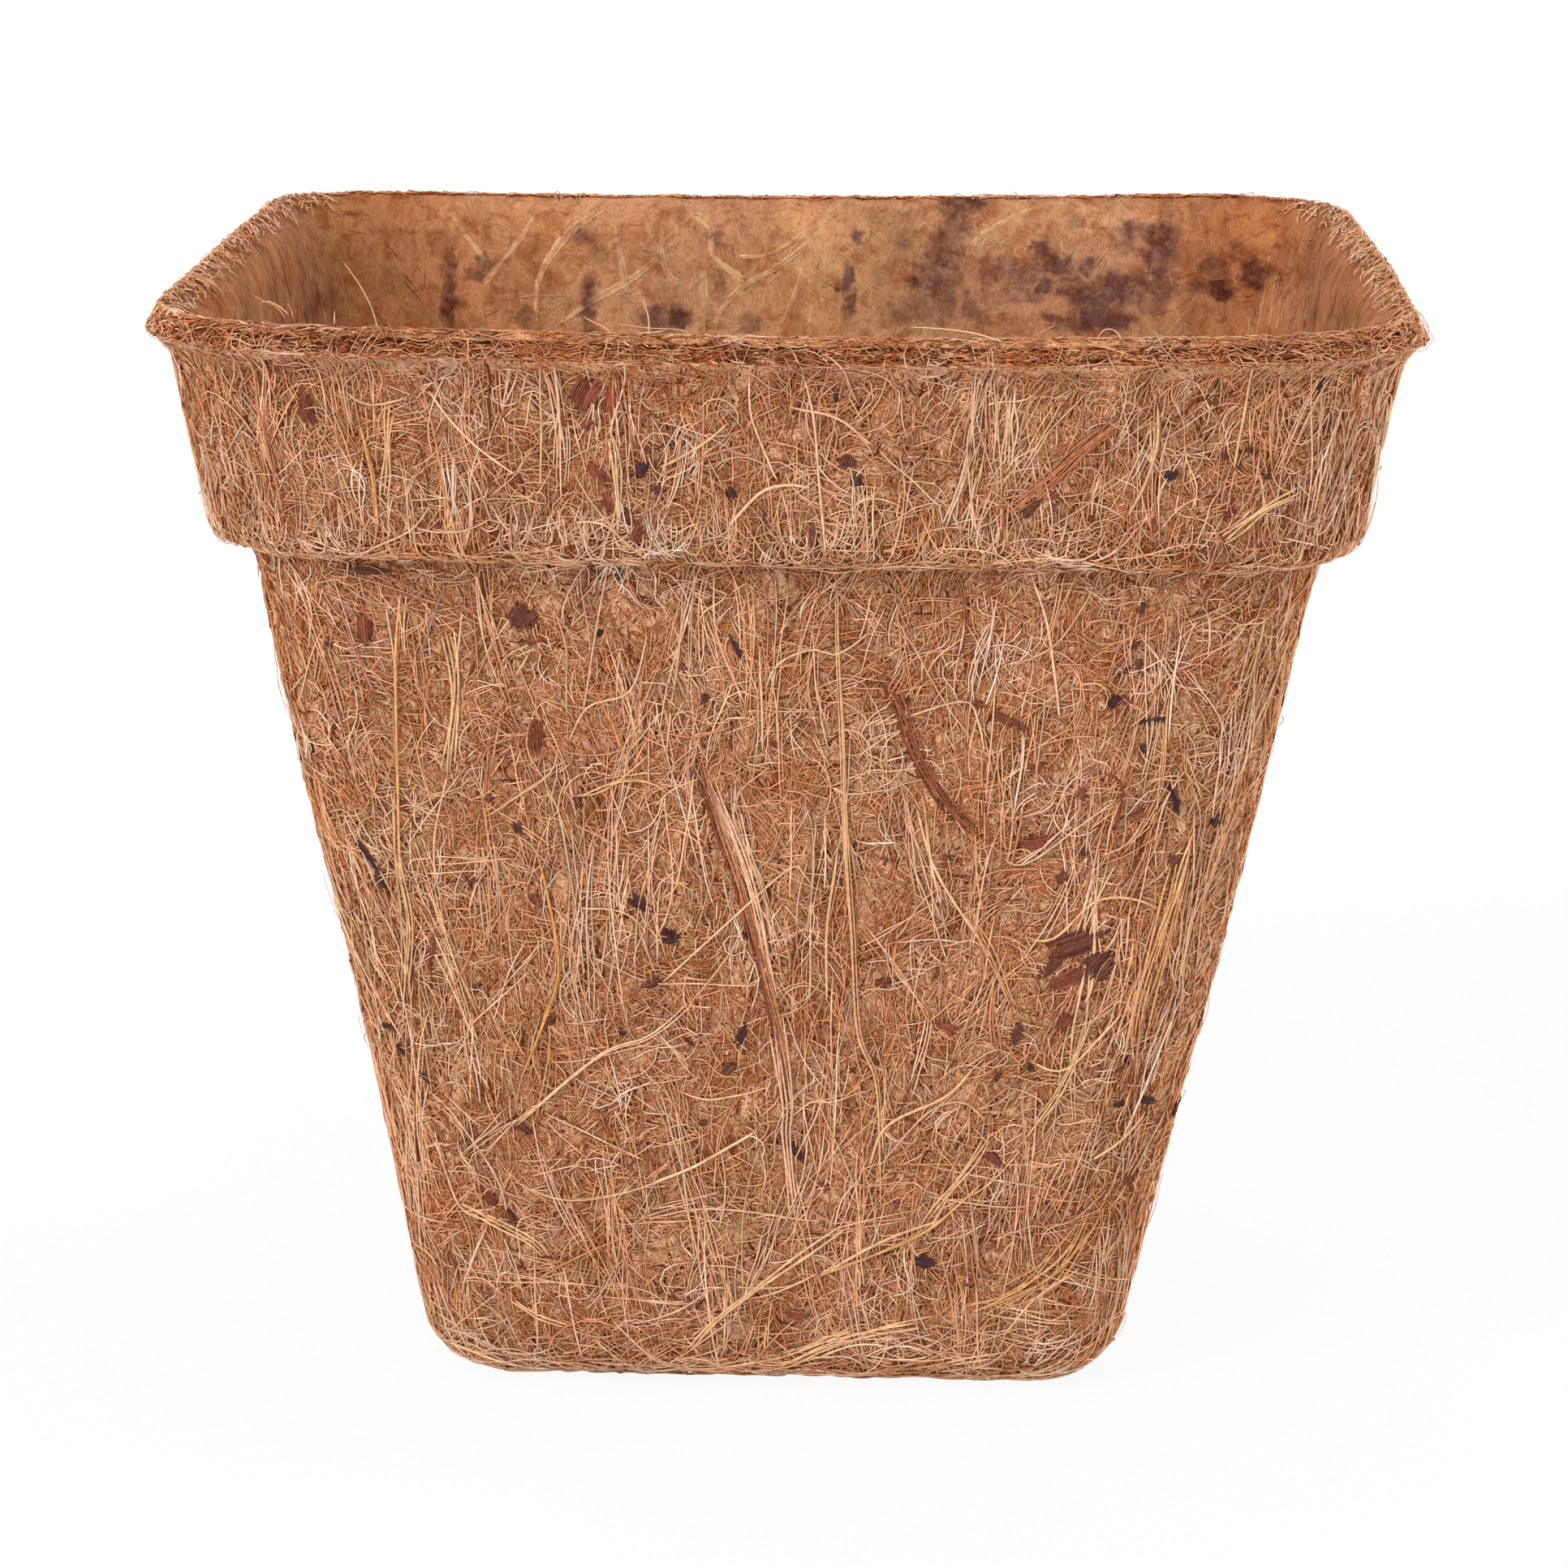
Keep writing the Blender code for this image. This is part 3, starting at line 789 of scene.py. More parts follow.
def grain_group():
    """Fibre grain: fine mottling of a colour."""
    group, start, end = node_group(
        "fibre grain",
        [("Colour", "Color", None), ("Scale", "Float", 900.0), ("Amount", "Float", 0.25)],
        [("Colour", "Color")],
    )
    place = add_node(group, "ShaderNodeTexCoord").outputs["Object"]
    mottle = noise(group, place, start.outputs["Scale"], 2.0)
    shade = ranged(group, mottle, 0.3, 0.7, -1.0, 1.0)
    gain = calc(group, "MULTIPLY_ADD", shade, start.outputs["Amount"], 1.0)
    group.links.new(scaled(group, start.outputs["Colour"], gain), end.inputs["Colour"])
    return group


def lay_group():
    """One lay of felt fibres on a map in millimetres: patches of broken rows, each turned its own way."""
    group, start, end = node_group(
        "felt lay",
        [("Place", "Vector", None)] + [
            (label, "Float", 0.0) for label in ("Angle", "Width", "Length", "Curl", "Spread", "Seed", "Share")
        ],
        [("Height", "Float"), ("Shade", "Float")],
    )
    given = start.outputs
    seed = given["Seed"]
    far = (calc(group, "MULTIPLY", seed, 37.0), calc(group, "MULTIPLY", seed, 91.0))
    moved = vector(group, "ADD", given["Place"], add_node(group, "ShaderNodeCombineXYZ", far).outputs[0])
    level = vector(group, "SUBTRACT", noise(group, moved, 0.35, 1.0, "Color"), (0.5, 0.5, 0.5))
    bent = vector(group, "ADD", moved, scaled(group, level, given["Curl"]))
    patch = add_node(group, "ShaderNodeTexVoronoi", {"Vector": bent, "Scale": 0.36}, voronoi_dimensions="2D")
    own = add_node(group, "ShaderNodeSeparateColor", (patch.outputs["Color"],)).outputs["Red"]
    angle = calc(group, "MULTIPLY_ADD", calc(group, "SUBTRACT", own, 0.5), given["Spread"], given["Angle"])
    sources = {"Vector": bent, "Angle": angle}
    turned = add_node(group, "ShaderNodeVectorRotate", sources, rotation_type="Z_AXIS")
    split = add_node(group, "ShaderNodeSeparateXYZ", (turned.outputs[0],)).outputs
    row = calc(group, "DIVIDE", split["Y"], given["Width"])
    row_number = calc(group, "FLOOR", row)
    row_chance = add_node(group, "ShaderNodeTexWhiteNoise", {"W": row_number}, noise_dimensions="1D")
    shift = calc(group, "MULTIPLY", row_chance.outputs["Value"], 29.0)
    run = calc(group, "ADD", calc(group, "DIVIDE", split["X"], given["Length"]), shift)
    cell = add_node(group, "ShaderNodeCombineXYZ", (row_number, calc(group, "FLOOR", run), seed)).outputs[0]
    chance = add_node(group, "ShaderNodeTexWhiteNoise", {"Vector": cell}, noise_dimensions="3D")
    parts = add_node(group, "ShaderNodeSeparateColor", (chance.outputs["Color"],)).outputs
    across = calc(group, "SUBTRACT", calc(group, "MULTIPLY", calc(group, "FRACT", row), 2.0), 1.0)
    crown = calc(group, "SUBTRACT", 1.0, calc(group, "MULTIPLY", across, across))
    way = calc(group, "FRACT", run)
    nearest_end = calc(group, "MINIMUM", way, calc(group, "SUBTRACT", 1.0, way))
    tip = calc(group, "MINIMUM", 1.0, calc(group, "MULTIPLY", 7.0, nearest_end))
    there = calc(group, "LESS_THAN", chance.outputs["Value"], given["Share"])
    height = calc(group, "MULTIPLY", calc(group, "MULTIPLY_ADD", parts["Green"], 0.5, 0.5), there)
    height = calc(group, "MULTIPLY", calc(group, "MULTIPLY", crown, tip), height)
    group.links.new(height, end.inputs["Height"])
    group.links.new(parts["Blue"], end.inputs["Shade"])
    return group


# The lays of the felt weave: angle, fibre width and length, curl, spread of angles, and share that is there
FELT_LAYS = (
    (1.55, 0.26, 3.2, 1.2, 1.2, 0.75),
    (0.8, 0.25, 2.0, 1.6, 3.1, 0.6),
    (2.3, 0.24, 1.8, 1.4, 3.1, 0.55),
    (1.5, 0.25, 2.4, 1.4, 3.1, 0.5),
)


def felt_group():
    """Felt weave: crossing lays of fine fibres, the highest of which shows, over a darker gap colour of
    painted shade.
    """
    group, start, end = node_group(
        "felt weave",
        [(label + " colour", "Color", None) for label in ("Gap", "Dark", "Fibre", "Pale")],
        [("Colour", "Color"), ("Height", "Float")],
    )
    chart = add_node(group, "ShaderNodeUVMap", uv_map="felt").outputs[0]
    height = None
    for i, (angle, width, length, curl, spread, share) in enumerate(FELT_LAYS):
        sources = (chart, angle, width, length, curl, spread, i + 1.0, share)
        one = add_node(group, "ShaderNodeGroup", sources, node_tree=LAY).outputs
        if height is None:
            height, shade = one["Height"], one["Shade"]
            continue
        over = calc(group, "GREATER_THAN", one["Height"], height)
        picked = add_node(group, "ShaderNodeMix", {"Factor": over, "A": shade, "B": one["Shade"]})
        height = calc(group, "MAXIMUM", one["Height"], height)
        shade = picked.outputs["Result"]
    colour = start.outputs["Dark colour"]
    for low, high, label in ((0.1, 0.35, "Fibre colour"), (0.55, 0.95, "Pale colour")):
        colour = mixed(group, ranged(group, shade, low, high), colour, start.outputs[label])
    # The gap colour shows where the weave is low: painted shade between its fibres.
    colour = mixed(group, ranged(group, height, 0.1, 0.6), start.outputs["Gap colour"], colour)
    group.links.new(colour, end.inputs["Colour"])
    group.links.new(height, end.inputs["Height"])
    return group


# Stains in the back's pressed inner skin, as seen from the front: x, height, reach across and up, strength
STAINS = (
    (21.5, 133.4, 2.7, 1.1, 1.1), (21.2, 132.3, 1.9, 0.8, 0.9), (23.3, 134.0, 1.7, 0.6, 0.6),
    (20.6, 130.4, 2.0, 1.5, 0.75), (19.1, 128.3, 2.0, 1.7, 0.8), (17.9, 126.0, 2.2, 1.8, 0.85),
    (17.3, 123.5, 2.3, 1.7, 0.85), (21.3, 127.7, 0.9, 1.5, 0.6), (20.5, 124.6, 1.3, 2.0, 0.75),
    (18.8, 121.4, 2.2, 1.5, 0.8), (15.4, 120.5, 2.1, 1.3, 0.6), (13.3, 119.0, 2.1, 1.1, 0.5),
    (18.0, 118.7, 2.6, 1.2, 0.6), (22.5, 120.4, 1.1, 2.0, 0.65), (24.6, 118.8, 1.5, 1.1, 0.6),
    (13.5, 129.0, 1.5, 1.3, 0.6), (9.4, 131.7, 1.0, 0.6, 0.35), (10.8, 124.0, 1.7, 1.3, 0.35),
    (25.2, 124.2, 0.9, 2.6, 0.65), (27.7, 124.9, 1.8, 1.8, 0.7), (29.3, 122.2, 2.2, 1.9, 0.65),
    (27.2, 120.9, 2.6, 1.1, 0.5), (30.5, 124.3, 1.8, 1.5, 0.7), (32.5, 127.6, 1.6, 1.4, 0.95),
    (34.5, 125.8, 2.2, 1.6, 0.95), (33.1, 122.9, 1.1, 1.1, 1.2), (31.4, 121.2, 1.5, 1.0, 0.7),
    (36.9, 122.9, 2.6, 1.2, 0.9), (38.4, 125.8, 0.9, 1.1, 1.0), (39.5, 121.7, 3.0, 1.9, 1.0),
    (42.9, 122.8, 2.7, 2.3, 1.0), (40.4, 119.2, 3.2, 1.8, 1.0), (37.5, 118.0, 2.6, 0.9, 0.85),
    (43.0, 118.6, 2.0, 1.5, 0.9), (34.7, 118.5, 2.1, 0.8, 0.8), (45.5, 122.6, 1.8, 2.6, 0.8),
    (49.1, 122.9, 1.8, 1.7, 0.9), (47.3, 120.4, 2.1, 1.2, 0.7), (45.2, 130.4, 2.2, 1.0, 0.8),
    (48.6, 130.2, 2.2, 1.5, 1.0), (48.7, 127.7, 2.1, 2.0, 1.05), (48.4, 125.4, 1.8, 1.2, 0.9),
    (43.7, 128.5, 1.6, 1.1, 0.6), (49.9, 133.4, 0.9, 1.2, 0.5), (37.2, 131.5, 1.0, 0.6, 0.4),
    (56.1, 125.9, 1.6, 1.5, 0.8), (59.1, 128.7, 1.1, 1.1, 0.6), (53.8, 123.2, 2.1, 1.0, 0.65),
    (56.9, 122.8, 1.7, 1.2, 1.15), (61.3, 125.5, 1.6, 1.5, 1.05), (62.9, 126.1, 1.5, 1.0, 0.6),
    (53.5, 132.5, 0.7, 1.2, 0.4), (33.0, 121.5, 17.0, 6.0, 0.22), (19.0, 125.0, 6.0, 9.0, 0.25),
    (7.2, 129.1, 0.8, 0.9, 1.0), (5.7, 123.9, 0.65, 1.5, 1.0), (6.4, 120.4, 0.65, 1.5, 1.0),
    (4.9, 122.7, 0.5, 0.7, 0.8), (-49.2, 120.5, 0.8, 5.0, 0.9), (-45.5, 123.5, 1.2, 1.0, 0.7),
    (-44.3, 125.2, 0.8, 1.0, 0.8), (-29.8, 119.5, 1.0, 3.2, 0.9), (-28.8, 126.7, 1.2, 1.8, 0.4),
    (-30.6, 128.9, 1.3, 1.1, 0.7), (-20.0, 117.5, 2.2, 1.5, 0.9), (-17.6, 118.2, 1.4, 1.2, 1.1),
    (-12.6, 128.4, 0.9, 0.9, 0.7), (-11.7, 122.6, 0.8, 1.4, 0.6), (-7.6, 116.9, 1.0, 1.1, 0.7),
    (-38.5, 117.7, 0.8, 1.6, 0.6), (-65.0, 121.0, 1.6, 1.0, 0.5),
)


# How the stains' edges wander: the scale of each noise, and how far it moves them
STAIN_WARP = ((0.25, 2.2), (0.85, 2.4))
# How far out from its middle a stain fades to nothing, and where it is full, as shares of its reach
STAIN_FADE = (1.7, 0.75)
# Stains lie on the back's inner skin alone, past this far behind the middle
BACK_START = 40.0


def stain_group():
    """How stained the back's inner skin is at a place, and how browned the pressed skin is all round."""
    group, _, end = node_group("inner stains", [], [("Stain", "Float"), ("Brown", "Float")])
    place = scaled(group, add_node(group, "ShaderNodeTexCoord").outputs["Object"], 1 / MM)
    where = place
    for scale, reach in STAIN_WARP:
        wander_by = noise(group, place, scale, 2.0, "Color")
        bend = vector(group, "MULTIPLY_ADD", wander_by, (reach,) * 3, (-reach / 2,) * 3)
        where = vector(group, "ADD", where, bend)
    total = None
    for x, z, across, up, strength in STAINS:
        near = vector(group, "MULTIPLY_ADD", where, (1 / across, 0, 1 / up), (-x / across, 0, -z / up))
        far = add_node(group, "ShaderNodeVectorMath", (near,), operation="LENGTH").outputs["Value"]
        mark = ranged(group, far, *STAIN_FADE, 0.0, strength)
        total = mark if total is None else calc(group, "MAXIMUM", total, mark)
    depth = ranged(group, noise(group, place, 0.75, 3.0), 0.35, 0.62, 0.66, 1.15)
    ahead = add_node(group, "ShaderNodeSeparateXYZ", (place,)).outputs["Y"]
    for factor in (depth, calc(group, "GREATER_THAN", ahead, BACK_START)):
        total = calc(group, "MULTIPLY", total, factor, clamp=True)
    group.links.new(total, end.inputs["Stain"])
    patches = noise(group, place, 0.36, 3.0, Roughness=0.62, Distortion=0.6)
    group.links.new(ranged(group, patches, 0.44, 0.68), end.inputs["Brown"])
    return group


LAY = lay_group()
GRAIN = grain_group()
WEAVE = felt_group()
STAIN = stain_group()
# What a stain and a browned patch multiply the skin's colour by
STAIN_COLOUR = (0.30, 0.27, 0.42)
BROWN_COLOUR = (0.66, 0.50, 0.42)
# The height of the weave's bump
FELT_BUMP = 0.25


def new_finish(name, roughness, specular):
    """A plain material, with its tree and its shader."""
    made = bpy.data.materials.new(name)
    made.use_nodes = True
    shader = made.node_tree.nodes["Principled BSDF"]
    shader.inputs["Roughness"].default_value = roughness
    shader.inputs["Specular IOR Level"].default_value = specular
    return made, made.node_tree, shader


def stain_over(tree, colour):
    """A colour multiplied by the brown and the stain colour where the inner skin is browned or stained."""
    marks = add_node(tree, "ShaderNodeGroup", node_tree=STAIN)
    for label, tint in (("Brown", BROWN_COLOUR), ("Stain", STAIN_COLOUR)):
        colour = mixed(tree, marks.outputs[label], colour, (*tint, 1.0), "MULTIPLY")
    return colour


def fibre_finish(name, roughness=0.8, specular=0.0, amount=0.14, scale=1400.0, stained=False):
    """Loose coir fibre: each fibre's own colour, lightly mottled."""
    made, tree, shader = new_finish(name, roughness, specular)
    tone = add_node(tree, "ShaderNodeAttribute", attribute_name="tone").outputs["Color"]
    colour = add_node(tree, "ShaderNodeGroup", (tone, scale, amount), node_tree=GRAIN).outputs["Colour"]
    if stained:
        colour = stain_over(tree, colour)
    tree.links.new(colour, shader.inputs["Base Color"])
    return made


def felt_finish(name, gap, dark, fibre, pale, strength=0.5, stained=False):
    """Pressed felt between its loose fibres, tinted where the piece's tint says, which holds some painted
    shade.
    """
    made, tree, shader = new_finish(name, 0.85, 0.0)
    colours = [(*colour, 1.0) for colour in (gap, dark, fibre, pale)]
    weave_node = add_node(tree, "ShaderNodeGroup", colours, node_tree=WEAVE)
    tint = add_node(tree, "ShaderNodeAttribute", attribute_name="tone").outputs["Color"]
    colour = mixed(tree, 1.0, weave_node.outputs["Colour"], tint, "MULTIPLY")
    if stained:
        colour = stain_over(tree, colour)
    tree.links.new(colour, shader.inputs["Base Color"])
    sources = {"Strength": strength, "Distance": FELT_BUMP * MM, "Height": weave_node.outputs["Height"]}
    bump = add_node(tree, "ShaderNodeBump", sources)
    tree.links.new(bump.outputs["Normal"], shader.inputs["Normal"])
    return made


FIBRES = fibre_finish("loose coir fibre")
INNER_FIBRES = fibre_finish("pressed coir fibre", amount=0.12, stained=True)
HUSK = fibre_finish("dark husk", roughness=0.75, specular=0.05, amount=0.3, scale=2200.0)
# Each felt's gap, dark, fibre and pale colours; the gap colour is painted shade between the weave's fibres
OUTER_FELT = felt_finish(
    "outer felt", (0.090, 0.018, 0.005), (0.30, 0.110, 0.046), (0.57, 0.300, 0.160), (0.67, 0.410, 0.245))
CORE_FELT = felt_finish(
    "core felt", (0.10, 0.028, 0.009), (0.20, 0.06, 0.022), (0.36, 0.135, 0.055), (0.52, 0.26, 0.13))
INNER_FELT = felt_finish(
    "inner felt", (0.37, 0.170, 0.078), (0.43, 0.205, 0.096), (0.49, 0.245, 0.118), (0.55, 0.295, 0.150),
    strength=0.12, stained=True)


def deselect():
    """Leaves edit mode, with nothing selected."""
    if bpy.context.object and bpy.context.object.mode != "OBJECT":
        bpy.ops.object.mode_set(mode="OBJECT")
    bpy.ops.object.select_all(action="DESELECT")


# The felt layers

# The points across a sheet, from its middle to its lip, and the half width of the hole that is filled there
SHEET_ROWS = 64
SHEET_HOLE = 1.5
# The spacing of the section's points under a sheet, and how a sheet's rows crowd into its bends
SHEET_SPACING = 0.35
FLAT_COST = 0.05
BEND_COST = 1.6
# The space between the sides on a sheet's map, the reach within which points are merged, and how far from the
# middle the points of the hole lie
CHART_GAP = 160
MERGE_REACH = 0.02
HOLE_REACH = 2.6
# The height over which the trimmed edge frays
FRAY_START = 129
# The inner skin's tint: its lightness, how much red, green and blue its brown patches lose and its back
# corners and side walls lose as painted shade, and how far from the middle, and over what widths, the corners
# and the walls come in
INNER_LIGHTNESS = 1.03
PATCH_LOSS = np.array([0.12, 0.22, 0.30])
CORNER_PAINTED_SHADE = np.array([0.14, 0.30, 0.40])
SIDE_WALL_PAINTED_SHADE = np.array([0.21, 0.31, 0.30])
CORNER_START = 44
CORNER_WIDTH = 14
WALL_WIDTH = 12


def felt_layer(name, depth, thickness, back, columns, finish, slot, tint):
    """One felt layer: a sheet wrapped round the section, closed at its seam and middle, then thickened."""
    deselect()
    line, _ = along(outline(depth), SHEET_SPACING)
    turn = np.abs(np.gradient(np.unwrap(np.arctan2(*np.gradient(line, axis=0).T[::-1]))))
    cost = np.cumsum(FLAT_COST + BEND_COST * turn)
    places = np.interp(np.linspace(cost[0], cost[-1], SHEET_ROWS + 1), cost, np.arange(len(line)))
    half = np.interp(places, np.arange(len(line)), line[:, 0])
    height = np.interp(places, np.arange(len(line)), line[:, 1])
    half[0] = SHEET_HOLE
    bpy.ops.mesh.primitive_grid_add(
        x_subdivisions=columns, y_subdivisions=SHEET_ROWS, size=1.0, calc_uvs=False)
    made = bpy.context.object
    made.name = name
    data = made.data
    data.name = name
    flat = points_of(data)
    across = (flat[:, 0] + 0.5) * 4
    row = np.rint((flat[:, 1] + 0.5) * SHEET_ROWS).astype(int)
    h, z = half[row], height[row]
    centre = np.minimum(corner_centre(z), h * 0.8)
    radius = h - centre
    side = np.floor(across + 1e-5)
    run = (2 * (across - side) - 1) * (centre + math.pi / 4 * radius)
    bend = np.maximum(np.abs(run) - centre, 0) / radius
    x = np.clip(run, -centre, centre) + np.sign(run) * radius * np.sin(bend)
    y = -centre - radius * np.cos(bend)
    points = spin(np.stack([x, y, z], -1), side * math.pi / 2)
    way = np.concatenate([[0], np.cumsum(np.hypot(np.diff(half), np.diff(height)))])[row]
    data.vertices.foreach_set("co", (points * MM).ravel().astype(np.float32))
    chart = data.uv_layers.new(name="felt")
    index = np.empty(len(data.loops), np.int32)
    data.loops.foreach_get("vertex_index", index)
    around = across[index].reshape(-1, 4)
    face_side = np.floor(around.mean(axis=1))[:, None]
    reach = (centre + math.pi / 4 * radius)[index].reshape(-1, 4)
    run = (2 * (around - face_side) - 1) * reach + CHART_GAP * face_side
    uv = np.stack([run, way[index].reshape(-1, 4)], -1)
    chart.data.foreach_set("uv", uv.ravel().astype(np.float32))
    bpy.ops.object.mode_set(mode="EDIT")
    bpy.ops.mesh.select_all(action="SELECT")
    bpy.ops.mesh.remove_doubles(threshold=MERGE_REACH * MM)
    bpy.ops.mesh.select_all(action="DESELECT")
    bpy.ops.object.mode_set(mode="OBJECT")
    low = min(v.co.z for v in data.vertices) + 0.01 * MM
    for v in data.vertices:
        v.select = v.co.z < low and math.hypot(v.co.x, v.co.y) < HOLE_REACH * MM
    bpy.ops.object.mode_set(mode="EDIT")
    bpy.ops.mesh.select_mode(type="VERT")
    bpy.ops.mesh.edge_face_add()
    bpy.ops.mesh.select_all(action="SELECT")
    bpy.ops.mesh.normals_make_consistent(inside=False)
    bpy.ops.object.mode_set(mode="OBJECT")
    if sum(face.normal.xy.dot(face.center.xy) for face in data.polygons) < 0:
        data.flip_normals()
    thicken = made.modifiers.new("thickness", "SOLIDIFY")
    thicken.thickness = thickness * MM
    thicken.offset = -1.0
    thicken.use_even_offset = True
    bpy.ops.object.modifier_apply(modifier=thicken.name)
    points = roughen(points_of(data).astype(float) / MM, back)
    data.vertices.foreach_set("co", (settle(points) * MM).ravel().astype(np.float32))
    paint(data, tint(points))
    data.update()
    bpy.ops.object.shade_smooth_by_angle(angle=math.radians(50))
    finished(made, finish)
    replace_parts(made, name)
    return made


def roughen(points, back):
    """Small lumps in the felt's skins, which also fray the trimmed edge."""
    lump = 0.10 * drift(points, *LUMPS) + 0.06 * drift(points, *SMALL_LUMPS)
    moved = points.copy()
    moved[:, :2] += outward(points) * lump[:, None]
    edge = np.clip((points[:, 2] - FRAY_START) / 3, 0, 1)
    moved[:, 2] += edge * (min(back, 0.2) * drift(points, *FRAYING) - back)
    return moved


def plain_tint(points, brow=FELT_BROW_DEPTH):
    """A tint that varies gently, with painted shade just over the band's lower edge."""
    shade = 1 + 0.10 * drift(points, *BROAD_SHADE) + 0.07 * drift(points, *FINE_SHADE)
    # Painted shade just over the band's lower edge.
    shade = shade * (1 - brow * np.exp(-(((points[:, 2] - BROW_HEIGHT) / FELT_BROW_REACH) ** 2)))
    return np.clip(np.stack([shade, shade * (1 - 0.03 * drift(points, *GREENNESS)), shade], -1), 0.3, 1.4)


def inner_tint(points):
    """The inner skin's tint: painted shade, deeper and more golden, toward its back corners and on its side
    walls, with brown patches.
    """
    tint = INNER_LIGHTNESS * plain_tint(points, 0.0)
    brown = 0.5 * drift(points, *BROWN_PATCHES) + 0.35 * drift(points, *SMALL_PATCHES) + 0.1
    tint = tint * (1 - np.clip(brown, 0, 1)[:, None] * PATCH_LOSS)
    # Painted shade: darker and more saturated toward the back corners, and more so on the side walls.
    sides = np.clip((np.abs(points[:, :1]) - CORNER_START) / CORNER_WIDTH, 0, 1)
    past_corner = np.clip((np.abs(points[:, :1]) - points[:, 1:2]) / WALL_WIDTH, 0, 1)
    return tint * (1 - sides * (CORNER_PAINTED_SHADE + past_corner * (SIDE_WALL_PAINTED_SHADE - CORNER_PAINTED_SHADE)))


felt_layer(*LAYERS[0], 176, OUTER_FELT, "outer_felt", plain_tint)
felt_layer(*LAYERS[1], 120, CORE_FELT, "core_felt", plain_tint)
INNER_LAYER = felt_layer(*LAYERS[2], 224, INNER_FELT, "inner_felt", inner_tint)
INNER_LAYER.data.calc_loop_triangles()
INNER_SKIN = BVHTree.FromPolygons(
    [v.co.copy() for v in INNER_LAYER.data.vertices],
    [tuple(part.vertices) for part in INNER_LAYER.data.loop_triangles],
)


# The first seed of each kind of fibre's random draws
SIDE_SEED = 100
INNER_SEED = 200
LIP_SEED = 300
FLAT_SEED = 400
FLAKE_SEED = 500
# The loose fibres of each side
SIDES = ("front", "right", "back", "left")
# Where the wall's fibres start and end, and where the band's start, as ways along the section
WALL_LOW = 1.0
WALL_HIGH = SKIN.step - 0.2
BAND_LOW = SKIN.step + 1.0
# The share of the front's fibres that a side out of sight has
HIDDEN_SHARE = 0.5
# Kinds of curved fibre on a side: how many, how many side by side, from and to how far up, kind, points along
SIDE_CURVES = (
    (2500, 2, WALL_LOW, WALL_HIGH, CURVES, 7),
    (700, 1, WALL_LOW, WALL_HIGH, LOOPS, 9),
    (550, 2, BAND_LOW, SKIN.lip, CURVES, 7),
    (520, 1, BAND_LOW, SKIN.lip, LOOPS, 9),
)
# The combed sheaves of a side: how many, from and to how far up, lengths, heading and its spread, most fibres
SIDE_SHEAVES = (
    (105, 14, WALL_HIGH - 6, (12, 34), (math.pi / 2, 0.17), 11),
    (50, BAND_LOW + 4, SKIN.lip - 4, (9, 20), (math.pi / 2, 0.17), 11),
    (20, WALL_LOW, 40, (10, 24), (0.15, 0.6), 7),
    (60, 10, WALL_HIGH, (8, 20), (math.pi / 2, 0.9), 5),
)


def side_fibres(k):
    """The outer fibres of one side: fine hatching, a looser lay of curves over it, and combed sheaves."""
    name = SIDES[k]
    rich = 1.0 if k == 0 else HIDDEN_SHARE
    rng = np.random.default_rng(SIDE_SEED + k)
    span = (k, k + 1)
    short = Bundle()
    flecks(short, rng, int(16900 * rich), span, WALL_LOW, SKIN.lip + 0.2, FLECKS)
    short.piece(name + "_short_fibres", FIBRES, "outer_felt")
    hatch = Bundle()
    tangle(hatch, rng, int(2900 * rich), 4, span, WALL_LOW, SKIN.lip, HATCH, 4)
    hatch.piece(name + "_hatched_fibres", FIBRES, "outer_felt")
    curves = Bundle()
    for count, together, low, high, kind, steps in SIDE_CURVES:
        tangle(curves, rng, int(count * rich), together, span, low, high, kind, steps)
    curves.piece(name + "_curved_fibres", FIBRES, "outer_felt")
    combed = Bundle()
    for count, low, high, lengths, heading, most in SIDE_SHEAVES:
        sheaves(combed, rng, int(count * rich), span, low, high, lengths, heading, most)
    edging(combed, rng, int(80 * rich), span, (SKIN.step + 0.4, SKIN.brow + 0.6), BROW_EDGE)
    hooks(combed, rng, int(330 * rich), span)
    edging(combed, rng, int(170 * rich), span, (1.5, 14), FOOT_EDGE)
    fuzz(combed, rng, 50, (k - 0.16, k + 0.16), (14, SKIN.lip), (0.1, 0.6))
    fuzz(combed, rng, 30, span, (SKIN.brow - 1, SKIN.brow + 3), (0.1, 0.6))
    fuzz(combed, rng, 40, span, (SKIN.lip - 4, SKIN.lip), (0.1, 0.5))
    combed.piece(name + "_combed_fibres", FIBRES, "outer_felt")


# The long lines pressed into the inner skin of a side: how many, their points, and their brown and pale tones
SIDE_LINES = 260
SIDE_LINE_STEPS = 7
SIDE_LINE_BROWN = (0.27, 0.11, 0.06)
SIDE_LINE_PALE = (0.92, 0.58, 0.34)


